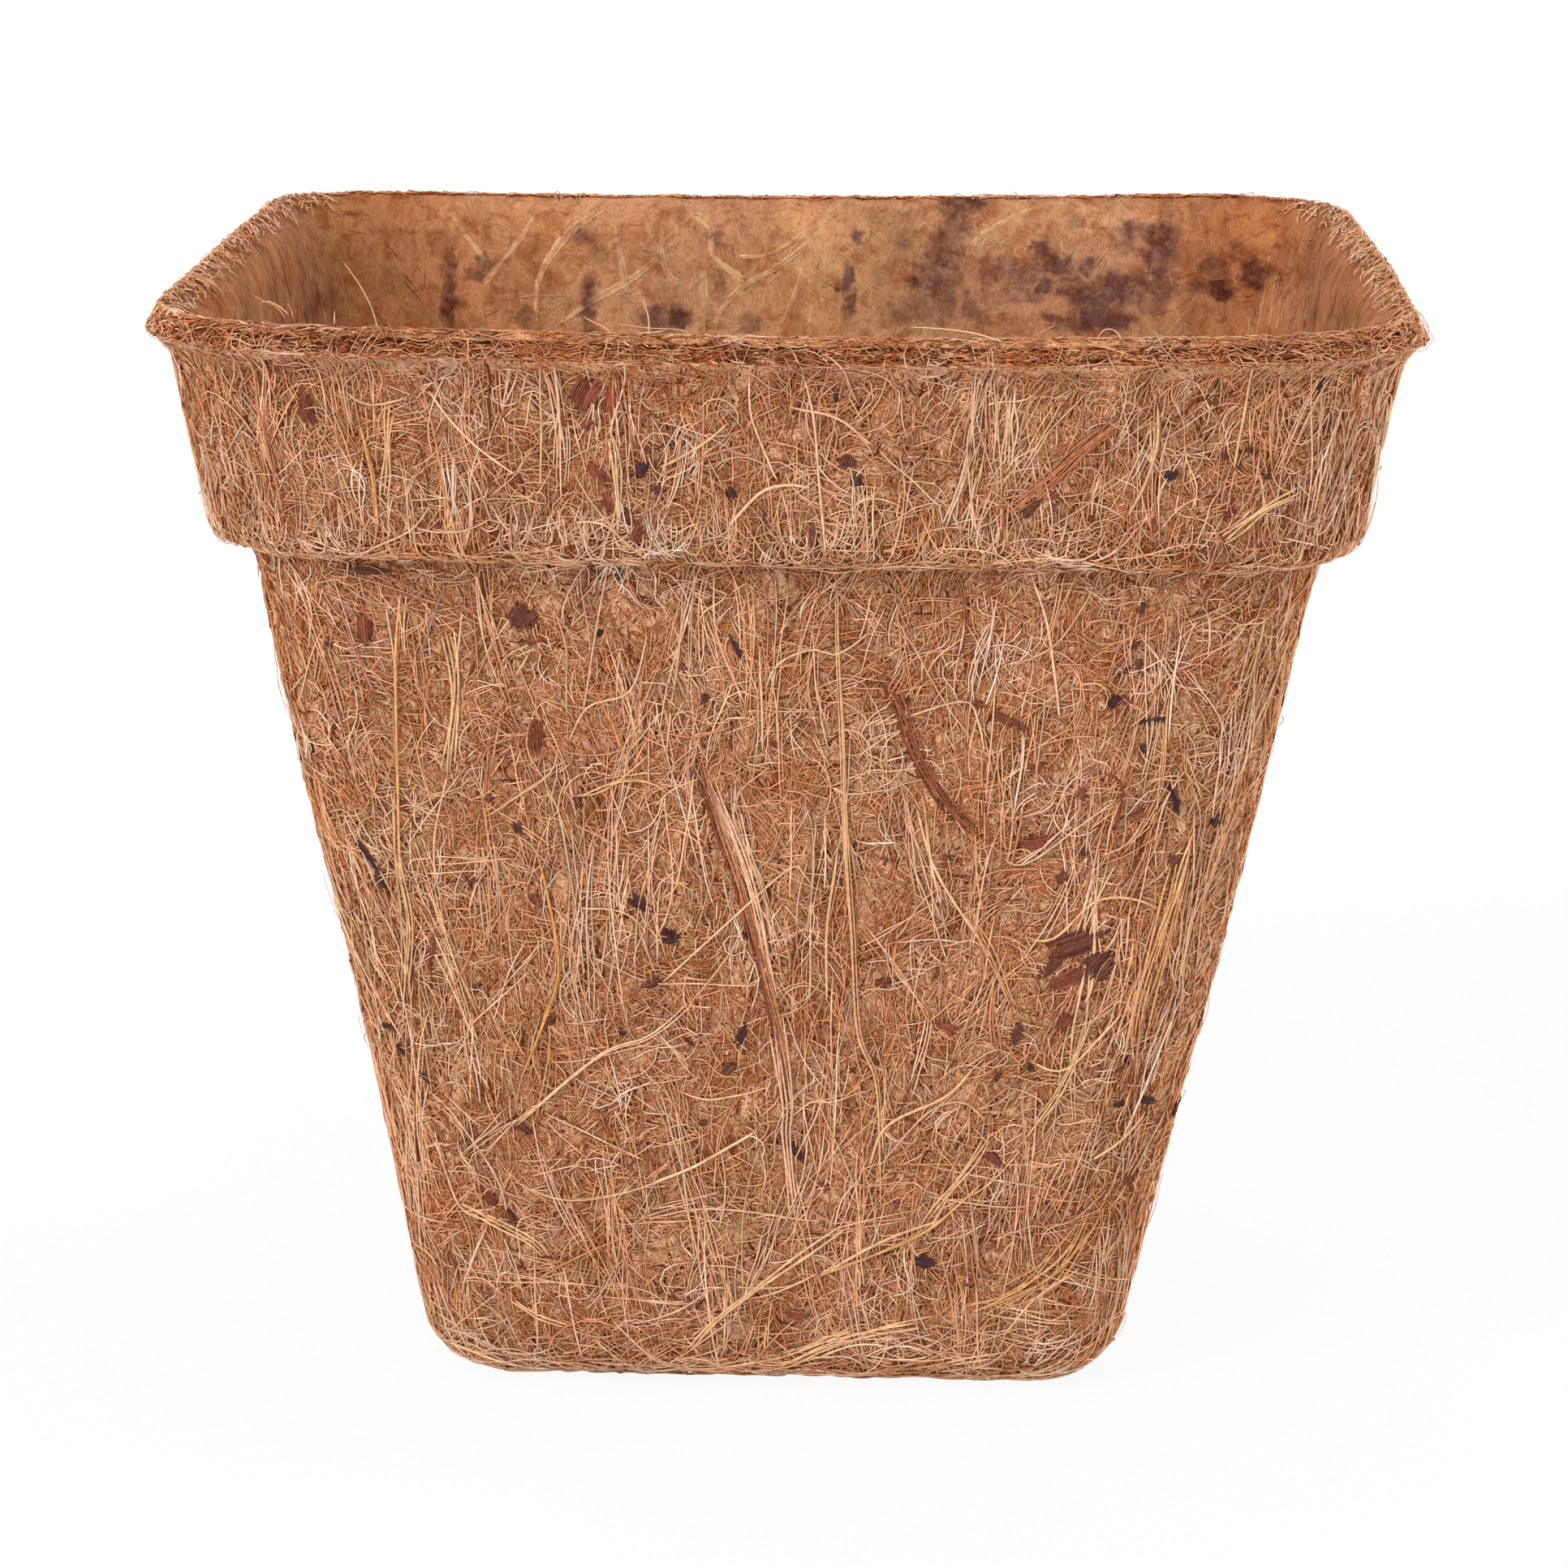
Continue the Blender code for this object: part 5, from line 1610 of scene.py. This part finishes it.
LOW_LINES = (
    (GOLD, 0.16, 2, (
        (-19.7, 9.8), (-16.4, 6.2), (-13.3, 3.1), (-8.4, 2.3), (-2.7, 3.4), (3.5, 5.3), (15.6, 11.5),
    )),
    (GOLD, 0.17, 4, ((-3.5, 4.1), (1.4, 3.3), (6.3, 5.8), (13.2, 8.2), (21.6, 9.7))),
    (GOLD, 0.15, 3, ((-38.9, 24.6), (-35.3, 23.0), (-29.3, 19.5), (-27.0, 16.4))),
    (PALE, 0.14, 2, ((-34.5, 32), (-21.5, 44), (-15, 47), (-9.5, 52))),
    (PALE, 0.14, 1, ((-42.5, 39.5), (-38.5, 36), (-33.5, 28), (-32, 21.5))),
    (GOLD, 0.14, 1, ((-43.5, 47), (-44.5, 35.5))),
    (GOLD, 0.18, 1, ((-41, 32.5), (-38, 24), (-33, 22))),
    (TAN, 0.13, 1, ((-28, 37), (-15, 30.5))),
    (TAN, 0.14, 5, ((-0.5, 52.5), (1.5, 39), (1.5, 34), (3, 21.5))),
    (PALE, 0.2, 1, ((-15, 27.5), (-9, 30.5), (-2, 35))),
    (GOLD, 0.14, 1, ((4.5, 41), (10.5, 26.5))),
    (GOLD, 0.22, 1, ((11.5, 30), (13.5, 36), (20.5, 40), (24, 44))),
    (TAN, 0.14, 1, ((12.5, 30), (18, 37.5), (22.5, 39.5), (26, 36.5))),
    (TAN, 0.13, 1, ((-12, 40), (-7, 39), (0, 41))),
    (TAN, 0.14, 1, ((-15, 23), (-7.5, 24.5), (6, 23))),
    (GOLD, 0.15, 3, ((18, 22), (26.5, 35.5))),
    (GOLD, 0.14, 1, ((19.5, 24.5), (25.5, 28), (30, 33.5))),
    (GOLD, 0.17, 1, ((30, 45), (35, 44), (41.5, 51.5))),
    (GOLD, 0.15, 3, ((30, 34), (34, 41), (37, 49), (37, 53))),
    (GOLD, 0.2, 1, ((38, 31.5), (42, 34.5), (45, 38))),
    (RUST, 0.14, 1, ((43.5, 39), (43.5, 34), (44.5, 28.5))),
    (RUST, 0.15, 1, ((-31, 12.5), (-25.5, 16.5), (-16, 21.5))),
    (GOLD, 0.16, 2, ((-32.5, 12), (-28.5, 9.5), (-23.5, 7.5))),
    (TAN, 0.14, 1, ((-25.5, 16.5), (-23, 2.5))),
    (TAN, 0.14, 1, ((-29, 18), (-28.5, 3.5))),
    (TAN, 0.14, 1, ((-41.5, 13.5), (-37, 3.5))),
    (TAN, 0.14, 1, ((-19.5, 9), (-14.5, 4), (-11, 2.5))),
    (GOLD, 0.2, 2, ((-11, 3.5), (-5, 11), (10, 23.5))),
    (PALE, 0.15, 1, ((-17.5, 8.5), (-11.5, 10.5), (-7, 14))),
    (PALE, 0.14, 1, ((-35, 2), (-29.5, 3), (-23.5, 2.5))),
    (GOLD, 0.22, 1, ((5, 15), (12.5, 20), (21.5, 24))),
    (PALE, 0.14, 1, ((-5, 14), (1.5, 14), (5, 15.5))),
    (TAN, 0.14, 1, ((-5, 12), (0, 13), (6.5, 16.5))),
    (TAN, 0.14, 1, ((28, 7), (32, 13), (38, 17.5))),
    (PALE, 0.14, 1, ((25.5, 11), (37, 9.5))),
    (RUST, 0.2, 1, ((4.5, 19), (6.5, 13.5), (9.5, 8))),
    (PALE, 0.14, 1, ((1, 3), (7.5, 5), (13, 9))),
    (TAN, 0.14, 1, ((25, 15), (25.5, 5), (27, 2))),
)

# Pale streaks pressed into the back's inner skin, as seen from the front
INNER_STREAKS = (
    (CREAM, 0.6, ((-28, 134), (-32.5, 131), (-36, 126.5), (-37.5, 122.5), (-37.5, 116.5))),
    (CREAM, 0.55, ((-20, 128), (-24.5, 124), (-30, 120.5), (-35.5, 116.5))),
    (CREAM, 0.6, ((-27, 133), (-26.5, 129), (-25.5, 124), (-24.5, 121))),
    (CREAM, 0.45, ((-20, 132.5), (-20.5, 128.5), (-19.5, 124.5), (-17, 123))),
    (CREAM, 0.6, ((-18, 133.5), (-14, 131.5), (-13.5, 127.5), (-10.5, 125), (-8, 123.5))),
    (CREAM, 0.5, ((0.5, 129.5), (-5, 125.5), (-9.5, 122.5), (-12.5, 118.5), (-13, 115.5))),
    (CREAM, 0.4, ((-0.5, 127), (-1.5, 123), (-4, 117))),
    (CREAM, 0.6, ((-14.5, 126), (-14.5, 115.5))),
    (CREAM, 0.35, ((-50, 133), (-47, 129), (-44, 125))),
    (CREAM, 0.4, ((-37.5, 133.5), (-41, 128), (-45.5, 122))),
    (CREAM, 0.4, ((3.5, 133.5), (-0.5, 130.5), (-5.5, 127.5), (-11, 127))),
    (CREAM, 0.4, ((33, 134.5), (27.5, 132.5), (23, 129.5), (21, 125))),
    (RUST, 0.7, ((-43, 134), (-37.5, 133.5), (-32.5, 133))),
    (RUST, 0.3, ((-44.5, 121), (-32.5, 121.5))),
)

# The heights over the skin of the traced strands
TRACED_LIFTS = (-0.12, 0.05)

drawn_strands("front_band_strands", BAND_LINES, TRACED_LIFTS, "pale_fibre")
drawn_strands("front_high_strands", HIGH_LINES, TRACED_LIFTS, "golden_fibre")
drawn_strands("front_middle_strands", MIDDLE_LINES, TRACED_LIFTS, "golden_fibre")
drawn_strands("front_low_strands", LOW_LINES, TRACED_LIFTS, "golden_fibre")
inner_streaks("back_inner_streaks", INNER_STREAKS)


# Strands that leave the inner skin under the lip and stand above it: name, how high each reaches, half width,
# colour, its seat under the lip as places on the band, and the rest of its way as shares of its reach
FREE_STRANDS = (
    ("rim_upright_strand", 15.4, 0.13, (0.68, 0.44, 0.25), [(-59.5, 60.8), (-60.1, 76.5)], [
        (-0.05, 0.02, 0.32), (-0.12, 0.06, 0.62), (-0.23, 0.09, 0.83), (-0.35, 0.08, 1.0),
    ]),
    ("rim_arched_strand", 8.5, 0.11, (0.70, 0.45, 0.27), [(-13.0, 68.6), (-13.6, 80.4)], [
        (-0.01, -0.06, 0.47), (-0.05, -0.11, 0.83), (-0.13, -0.12, 0.91), (-0.25, -0.12, 0.94),
        (-0.65, -0.12, 0.95), (-1.08, -0.12, 1.0),
    ]),
)
# How far off the inner skin they start
SEAT_GAP = 0.35


def inside_front(across, up):
    """A point just off the front's inner skin, under the lip."""
    x, z = band_place(across, up)
    line = outline(FELT + SEAT_GAP)[BEND_STEPS + 1:]
    half = np.interp(z, line[:, 1], line[:, 0])
    return np.array([x, -half, z])


def add_hair(bundle, line, width, colour):
    """Adds one round hair along a line of points."""
    normals = np.broadcast_to(np.array([0.0, -1.0, 0.0]), line.shape)
    tone = np.broadcast_to(np.array(colour), line.shape)
    bundle.add_one(line, normals, width, width, tone)


def free_strand(name, reach, radius, colour, seat, steps_up):
    """A hair that leaves the inner skin and stands free."""
    points = [inside_front(*place) for place in seat]
    start = points[-1]
    points += [start + np.array(step) * reach for step in steps_up]
    line = smooth(points, ROUTE_SPACING)
    bundle = Bundle(6)
    add_hair(bundle, line, radius * (1 - 0.55 * np.linspace(0, 1, len(line))), colour)
    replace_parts(bundle.piece(name + "_fibres", STRANDS, "pale_fibre"), name)


for row in FREE_STRANDS:
    free_strand(*row)


# Loose hairs that stand on the front lip: tone, half width, how far in front of the axis, and (x, height)
RIM_HAIRS = (
    (PALE, 0.09, 72.4, ((-16.1, 139.0), (-15.8, 138.0), (-15.4, 136.6), (-15.4, 134.4))),
    (PALE, 0.08, 73.0, ((-22.8, 136.8), (-21.6, 136.2), (-20.3, 135.6), (-19.2, 134.6))),
    (RUST, 0.08, 73.0, ((-59.8, 138.3), (-58.6, 137.6), (-57.2, 137.0), (-56.1, 135.6))),
    (TAN, 0.07, 73.0, ((-59.2, 137.4), (-58.1, 137.6), (-56.8, 137.0), (-55.7, 136.0))),
    (RUST, 0.07, 73.0, ((-56.2, 137.5), (-55.6, 136.9), (-55.3, 135.6))),
    (TAN, 0.09, 73.0, ((-50.7, 136.9), (-50.7, 135.0))),
    (PALE, 0.10, 73.5, ((13.9, 136.3), (17.5, 136.1), (21.2, 135.6), (24.6, 134.6))),
    (PALE, 0.08, 73.5, ((34.7, 134.6), (35.7, 136.0), (37.0, 135.8), (37.8, 134.6))),
    (PALE, 0.08, 73.0, ((-17.1, 135.1), (-15.0, 135.2), (-13.4, 135.4))),
)


def rim_hairs():
    """The loose hairs of the front lip, as one piece."""
    bundle = Bundle(5)
    for colour, radius, ahead, places in RIM_HAIRS:
        line = smooth([(x, -ahead, z) for x, z in places], HAIR_SPACING)
        add_hair(bundle, line, radius * (1 - 0.5 * np.linspace(1, 0, len(line)) ** 2), colour)
    bundle.piece("rim_hairs", STRANDS, "pale_fibre")


rim_hairs()


# Husk flakes: x, height, half length, half width, turn in degrees, and tone on the front
BLACK = (0.070, 0.032, 0.030)
BROWN = (0.135, 0.050, 0.033)
RED = (0.215, 0.066, 0.036)
FLAKES = (
    (-16.1, 119.1, 1.6, 0.7, 50, BLACK), (-14.2, 116.7, 0.9, 0.5, 60, BROWN),
    (7.2, 120.3, 1.2, 0.9, 100, BROWN), (8.3, 118.0, 0.9, 0.6, 80, BLACK),
    (-5.9, 116.4, 0.8, 0.6, 120, BLACK), (43.9, 118.8, 0.9, 0.6, 80, BLACK),
    (31.3, 119.1, 0.7, 0.4, 50, RED), (28.2, 115.0, 2.0, 0.6, 48, BROWN), (30.6, 116.4, 0.9, 0.5, 45, RED),
    (61.0, 129.2, 1.6, 0.5, 90, BLACK), (62.2, 123.7, 1.5, 0.5, 85, BROWN),
    (-22.0, 124.3, 1.1, 0.6, 60, RED), (-24.8, 124.7, 0.9, 0.5, 90, RED),
    (-19.8, 114.7, 1.8, 0.6, 110, RED), (-17.5, 113.2, 1.5, 0.5, 100, BROWN),
    (-48.4, 68.9, 3.2, 0.55, -58, BLACK), (-47.4, 66.2, 1.2, 0.5, -70, BLACK),
    (-48.4, 98.1, 2.4, 1.0, 85, RED), (-52.7, 95.9, 0.8, 0.45, 20, BLACK), (-28.7, 97.0, 1.3, 0.5, 10, RED),
    (-23.6, 76.9, 1.2, 0.4, 100, BROWN), (-16.2, 64.2, 2.2, 0.8, -35, BLACK),
    (-12.6, 60.0, 1.8, 0.9, -40, BLACK), (38.7, 90.7, 1.3, 0.5, 80, BLACK),
    (43.5, 88.5, 2.2, 0.5, 10, BLACK), (42.5, 85.0, 1.3, 0.4, -35, BLACK),
    (46.2, 78.7, 2.6, 0.45, -65, BLACK), (51.3, 75.4, 0.8, 0.6, 90, BLACK), (30.0, 82.4, 1.0, 0.7, 60, RED),
    (-4.0, 47.6, 2.0, 0.5, 70, BLACK), (-5.5, 43.0, 1.2, 0.6, 50, BROWN), (-39.1, 16.1, 1.6, 0.4, 100, RED),
    (-31.8, 22.8, 2.0, 0.5, 120, BROWN), (26.7, 31.6, 3.2, 0.4, -35, RED), (3.1, 10.3, 1.8, 0.9, 170, RED),
    (-28.3, 86.0, 1.3, 0.6, 90, RED), (-34.7, 102.8, 2.6, 0.4, 85, BROWN),
    (-30.0, 99.9, 2.0, 1.6, 60, BROWN), (-5.1, 96.4, 2.1, 0.3, 110, BLACK),
    (-3.6, 60.7, 0.9, 0.4, 90, BLACK), (-47.3, 46.8, 1.9, 0.4, 0, BLACK),
    (-45.4, 44.1, 1.6, 0.4, -50, BLACK), (-34.1, 77.2, 0.8, 0.4, 60, BROWN),
    (-30.8, 73.7, 1.1, 0.6, 110, BROWN), (-48.2, 105.4, 3.2, 0.6, -2, BROWN),
    (20.7, 96.8, 1.4, 0.3, 80, BROWN), (41.5, 95.0, 1.2, 0.35, 90, BROWN), (-41.0, 58.0, 1.4, 0.4, 80, RED),
    (12.0, 44.0, 1.2, 0.35, 100, RED), (-54.1, 125.2, 2.8, 0.8, 90, RED), (-40.4, 111.6, 1.8, 0.6, 0, RED),
    (-22.4, 128.1, 3.0, 1.4, 65, RED), (-19.4, 127.6, 2.2, 0.8, 80, RED),
    (-21.2, 118.5, 2.4, 0.7, -50, RED), (-16.5, 111.3, 1.4, 1.0, 60, RED),
    (3.5, 111.0, 1.8, 0.5, 90, BROWN), (-2.2, 113.0, 1.4, 0.3, 70, BROWN), (5.9, 128.0, 0.6, 0.5, 0, BLACK),
    (49.9, 121.1, 0.6, 0.4, 60, BROWN), (52.7, 121.8, 0.5, 0.4, 0, BROWN),
    (51.4, 119.7, 0.6, 0.3, 30, BROWN), (55.1, 118.5, 0.5, 0.4, 0, BROWN),
    (-18.8, 105.4, 1.0, 0.4, 80, BLACK), (-28.5, 85.4, 2.6, 0.8, 85, RED),
    (14.9, 90.4, 0.5, 0.45, 0, BROWN), (-11.5, 94.2, 1.0, 0.3, -60, BROWN),
    (-8.8, 90.1, 0.9, 0.4, 80, BROWN), (23.0, 90.1, 1.2, 0.5, -20, RED), (26.3, 88.2, 2.2, 0.6, -20, RED),
    (28.4, 87.2, 0.8, 0.4, 0, RED), (41.5, 102.2, 1.2, 0.4, 80, BROWN), (40.8, 97.7, 0.9, 0.4, 80, BROWN),
    (40.2, 94.7, 0.9, 0.4, 70, BROWN), (-43.8, 54.4, 2.0, 0.45, 80, RED), (30.3, 73.0, 2.5, 0.75, 10, RED),
    (35.4, 60.2, 3.6, 1.7, 25, BROWN), (38.2, 57.6, 2.2, 1.9, 60, BROWN), (34.6, 55.6, 3.4, 1.0, 30, RED),
    (32.8, 57.3, 2.2, 0.7, 60, BROWN), (51.2, 75.6, 1.2, 0.65, 80, BLACK), (35.3, 79.2, 1.2, 0.7, 70, RED),
    (36.0, 71.7, 0.8, 0.6, 0, BROWN), (33.6, 68.5, 1.2, 0.6, 80, BROWN), (46.4, 70.7, 1.2, 0.6, 50, BROWN),
    (-42.3, 41.0, 1.4, 0.4, -55, BLACK), (-27.3, 48.7, 1.6, 0.5, 30, BROWN),
    (-18.3, 47.5, 0.7, 0.3, -20, BLACK), (-29.9, 34.5, 1.3, 0.4, -45, BROWN),
    (-34.2, 25.2, 1.3, 0.7, -30, RED), (-5.4, 43.4, 0.9, 0.5, 20, BLACK), (2.8, 32.4, 2.2, 0.5, -60, BLACK),
    (-10.1, 46.5, 0.8, 0.3, -50, BROWN), (-8.5, 35.9, 0.8, 0.4, 0, BROWN), (-8.3, 32.0, 0.9, 0.4, 0, RED),
    (20.6, 49.0, 1.8, 0.6, -25, RED), (26.7, 32.1, 1.4, 0.4, -50, BROWN),
    (44.9, 39.2, 1.9, 0.5, -15, BLACK), (41.5, 39.3, 1.0, 0.4, 0, BLACK), (28.9, 48.5, 2.0, 0.6, 80, BROWN),
    (34.5, 50.0, 1.6, 0.8, 70, RED), (43.2, 28.7, 1.2, 0.8, -60, RED), (30.6, 44.0, 0.5, 0.4, 0, BLACK),
    (26.6, 42.9, 1.2, 0.35, 80, BROWN), (18.7, 17.8, 1.9, 0.8, -15, BLACK),
    (13.9, 19.0, 0.6, 0.4, 0, BLACK), (24.4, 15.2, 0.8, 0.6, 0, RED),
)


def flakes(name, rng, rows):
    """The husk flakes of one side, each a few short flat fibres side by side that follow the skin."""
    bundle = Bundle(4)
    way = np.linspace(-1, 1, 6)
    for p, t, half_length, half_width, turn, tone, lift in rows:
        count = max(2, round(half_width / 0.14))
        place = (np.arange(count) - (count - 1) / 2) * 2 / count
        half = half_length * (1 - 0.5 * place**2) * rng.uniform(0.65, 1.1, count)
        ahead = way * half[:, None] + rng.normal(0, 0.12, (count, 1)) * half_length
        aside = half_width * place[:, None] + 0.05 * np.sin(3 * way + rng.uniform(*PHASE))
        p_line = p + (ahead * math.cos(turn) - aside * math.sin(turn)) / float(SKIN.read(t, SKIN.side))
        t_line = t + ahead * math.sin(turn) + aside * math.cos(turn)
        rise = lift + 0.08 * (1 - place[:, None]**2) + rng.normal(0, 0.03, (count, 1)) - 0.15 * way**6
        points, normals = SKIN.put(p_line, t_line, rise)
        width = 1.3 * half_width / count * (1 - 0.5 * way**4) * rng.uniform(0.75, 1.1, (count, 1))
        tones = np.array(tone) * np.exp(rng.normal(0, 0.22, (count, 1, 1)))
        tones = tones * np.exp(rng.normal(0, 0.08, (count, len(way), 1)))
        bundle.add(points, normals, width, 0.5 * width, tones)
    bundle.piece(name, HUSK, "brown_husk")


def traced_flakes():
    """The flakes traced on the front, the wider of which lie a little higher."""
    rows = []
    for x, z, half_length, half_width, turn, tone in FLAKES:
        p, t = SKIN.front(np.float64(x), np.float64(z))
        lift = 0.12 * half_width - 0.10
        rows.append((float(p), float(t), half_length, half_width, math.radians(turn), tone, lift))
    return rows


def scattered_flakes(rng, k, count, low, high):
    """Random flakes over one side."""
    rows = []
    for _ in range(count):
        tone = (BLACK, BROWN, RED, RED)[int(rng.integers(4))]
        size = rng.uniform(0.5, 1.7)
        rows.append((k + rng.uniform(0.06, 0.94), rng.uniform(low, high), size, size * rng.uniform(0.25, 0.6),
                     rng.normal(math.pi / 2, 0.9), tone, rng.uniform(-0.3, -0.1)))
    return rows


# How many random flakes the front and each other side have
FRONT_FLAKES = 40
HIDDEN_FLAKES = 110

for k in range(4):
    rng = np.random.default_rng(FLAKE_SEED + k)
    rows = traced_flakes() if k == 0 else []
    rows += scattered_flakes(rng, k, FRONT_FLAKES if k == 0 else HIDDEN_FLAKES, 6, SKIN.lip - 4)
    flakes(SIDES[k] + "_husk_flakes", rng, rows)


# The floor, the light and the camera

WHITE = (1.0, 1.0, 1.0, 1.0)
FLOOR_GREY = (0.85, 0.85, 0.85, 1.0)
# The share of plain white in the floor that the camera sees
FLOOR_GLOW = 0.93
FLOOR_RADIUS = 6.0
FLOOR_DROP = 0.0003
# The even light all round: its colour and strength
SKY = (0.97, 0.985, 1.0, 1.0)
SKY_STRENGTH = 0.90
# The soft lamps: place, height of the point aimed at, size and power
LAMPS = {
    "key": ((-1.9, -2.2, 1.8), 0.06, 1.4, 62.0),
    "fill": ((0.6, -2.2, 0.3), 0.05, 1.2, 18.0),
    "side": ((2.5, 0.9, 0.3), 0.06, 0.9, 36.0),
    "back": ((-1.2, 2.6, 0.3), 0.06, 0.9, 36.0),
}
# The camera: its tilt down, turn to the right and roll, in degrees, the height it aims at and its distance in
# metres, its lens on a 36 mm frame, and the shift of its frame
CAMERA_TURNS = (12.25, 1.24, 0.69)
CAMERA_AIM = 0.070
CAMERA_DISTANCE = 0.6936
CAMERA_LENS = 124.55
CAMERA_SHIFT = (-0.0030, -0.01465)


def stage():
    """A plain white floor that keeps a soft contact shadow."""
    deselect()
    bpy.ops.mesh.primitive_circle_add(
        vertices=96, radius=FLOOR_RADIUS, fill_type="NGON", location=(0, 0, -FLOOR_DROP))
    floor = bpy.context.object
    floor.name = "floor"
    made = bpy.data.materials.new("white floor")
    made.use_nodes = True
    tree = made.node_tree
    tree.nodes.clear()
    matte = add_node(tree, "ShaderNodeBsdfDiffuse", {"Color": FLOOR_GREY}).outputs[0]
    white = add_node(tree, "ShaderNodeEmission", {"Color": WHITE}).outputs[0]
    seen = add_node(tree, "ShaderNodeLightPath").outputs["Is Camera Ray"]
    share = calc(tree, "MULTIPLY", seen, FLOOR_GLOW)
    surface = add_node(tree, "ShaderNodeMixShader", (share, matte, white)).outputs[0]
    add_node(tree, "ShaderNodeOutputMaterial", {"Surface": surface})
    floor.data.materials.append(made)


def lamp(name, place, target, size, power):
    """A square softbox aimed at a point."""
    data = bpy.data.lights.new(name, "AREA")
    data.shape = "SQUARE"
    data.size = size
    data.energy = power
    made = bpy.data.objects.new(name, data)
    made.location = place
    made.rotation_euler = (Vector(target) - Vector(place)).to_track_quat("-Z", "Y").to_euler()
    made.visible_camera = False
    bpy.context.scene.collection.objects.link(made)


def world():
    """White to the camera, and a plain even light to everything else."""
    made = bpy.data.worlds.new("studio")
    made.use_nodes = True
    tree = made.node_tree
    tree.nodes.clear()
    light = add_node(tree, "ShaderNodeBackground", {"Color": SKY, "Strength": SKY_STRENGTH}).outputs[0]
    white = add_node(tree, "ShaderNodeBackground", {"Color": WHITE, "Strength": 1.0}).outputs[0]
    seen = add_node(tree, "ShaderNodeLightPath").outputs
    share = calc(tree, "MAXIMUM", seen["Is Camera Ray"], seen["Is Transmission Ray"])
    surface = add_node(tree, "ShaderNodeMixShader", (share, light, white)).outputs[0]
    add_node(tree, "ShaderNodeOutputWorld", {"Surface": surface})
    bpy.context.scene.world = made


def camera():
    """The photograph's view: a long lens a little above the pot, turned slightly to its right."""
    tilt, yaw, roll = (math.radians(angle) for angle in CAMERA_TURNS)
    back = Vector((math.sin(yaw) * math.cos(tilt), -math.cos(yaw) * math.cos(tilt), math.sin(tilt)))
    right = (-back).cross(Vector((0, 0, 1))).normalized()
    up = right.cross(-back)
    across = right * math.cos(roll) + up * math.sin(roll)
    above = up * math.cos(roll) - right * math.sin(roll)
    data = bpy.data.cameras.new("camera")
    data.sensor_width = 36.0
    data.sensor_fit = "HORIZONTAL"
    data.lens = CAMERA_LENS
    data.shift_x, data.shift_y = CAMERA_SHIFT
    data.clip_start = 0.05
    data.clip_end = 30.0
    made = bpy.data.objects.new("camera", data)
    turn = Matrix((across, above, back)).transposed().to_4x4()
    place = Vector((0, 0, CAMERA_AIM)) + back * CAMERA_DISTANCE
    made.matrix_world = Matrix.Translation(place) @ turn
    bpy.context.scene.collection.objects.link(made)
    bpy.context.scene.camera = made


stage()
world()
for name, (place, aim, size, power) in LAMPS.items():
    lamp(name, place, (0, 0, aim), size, power)
camera()
bpy.context.scene.view_settings.view_transform = "Standard"
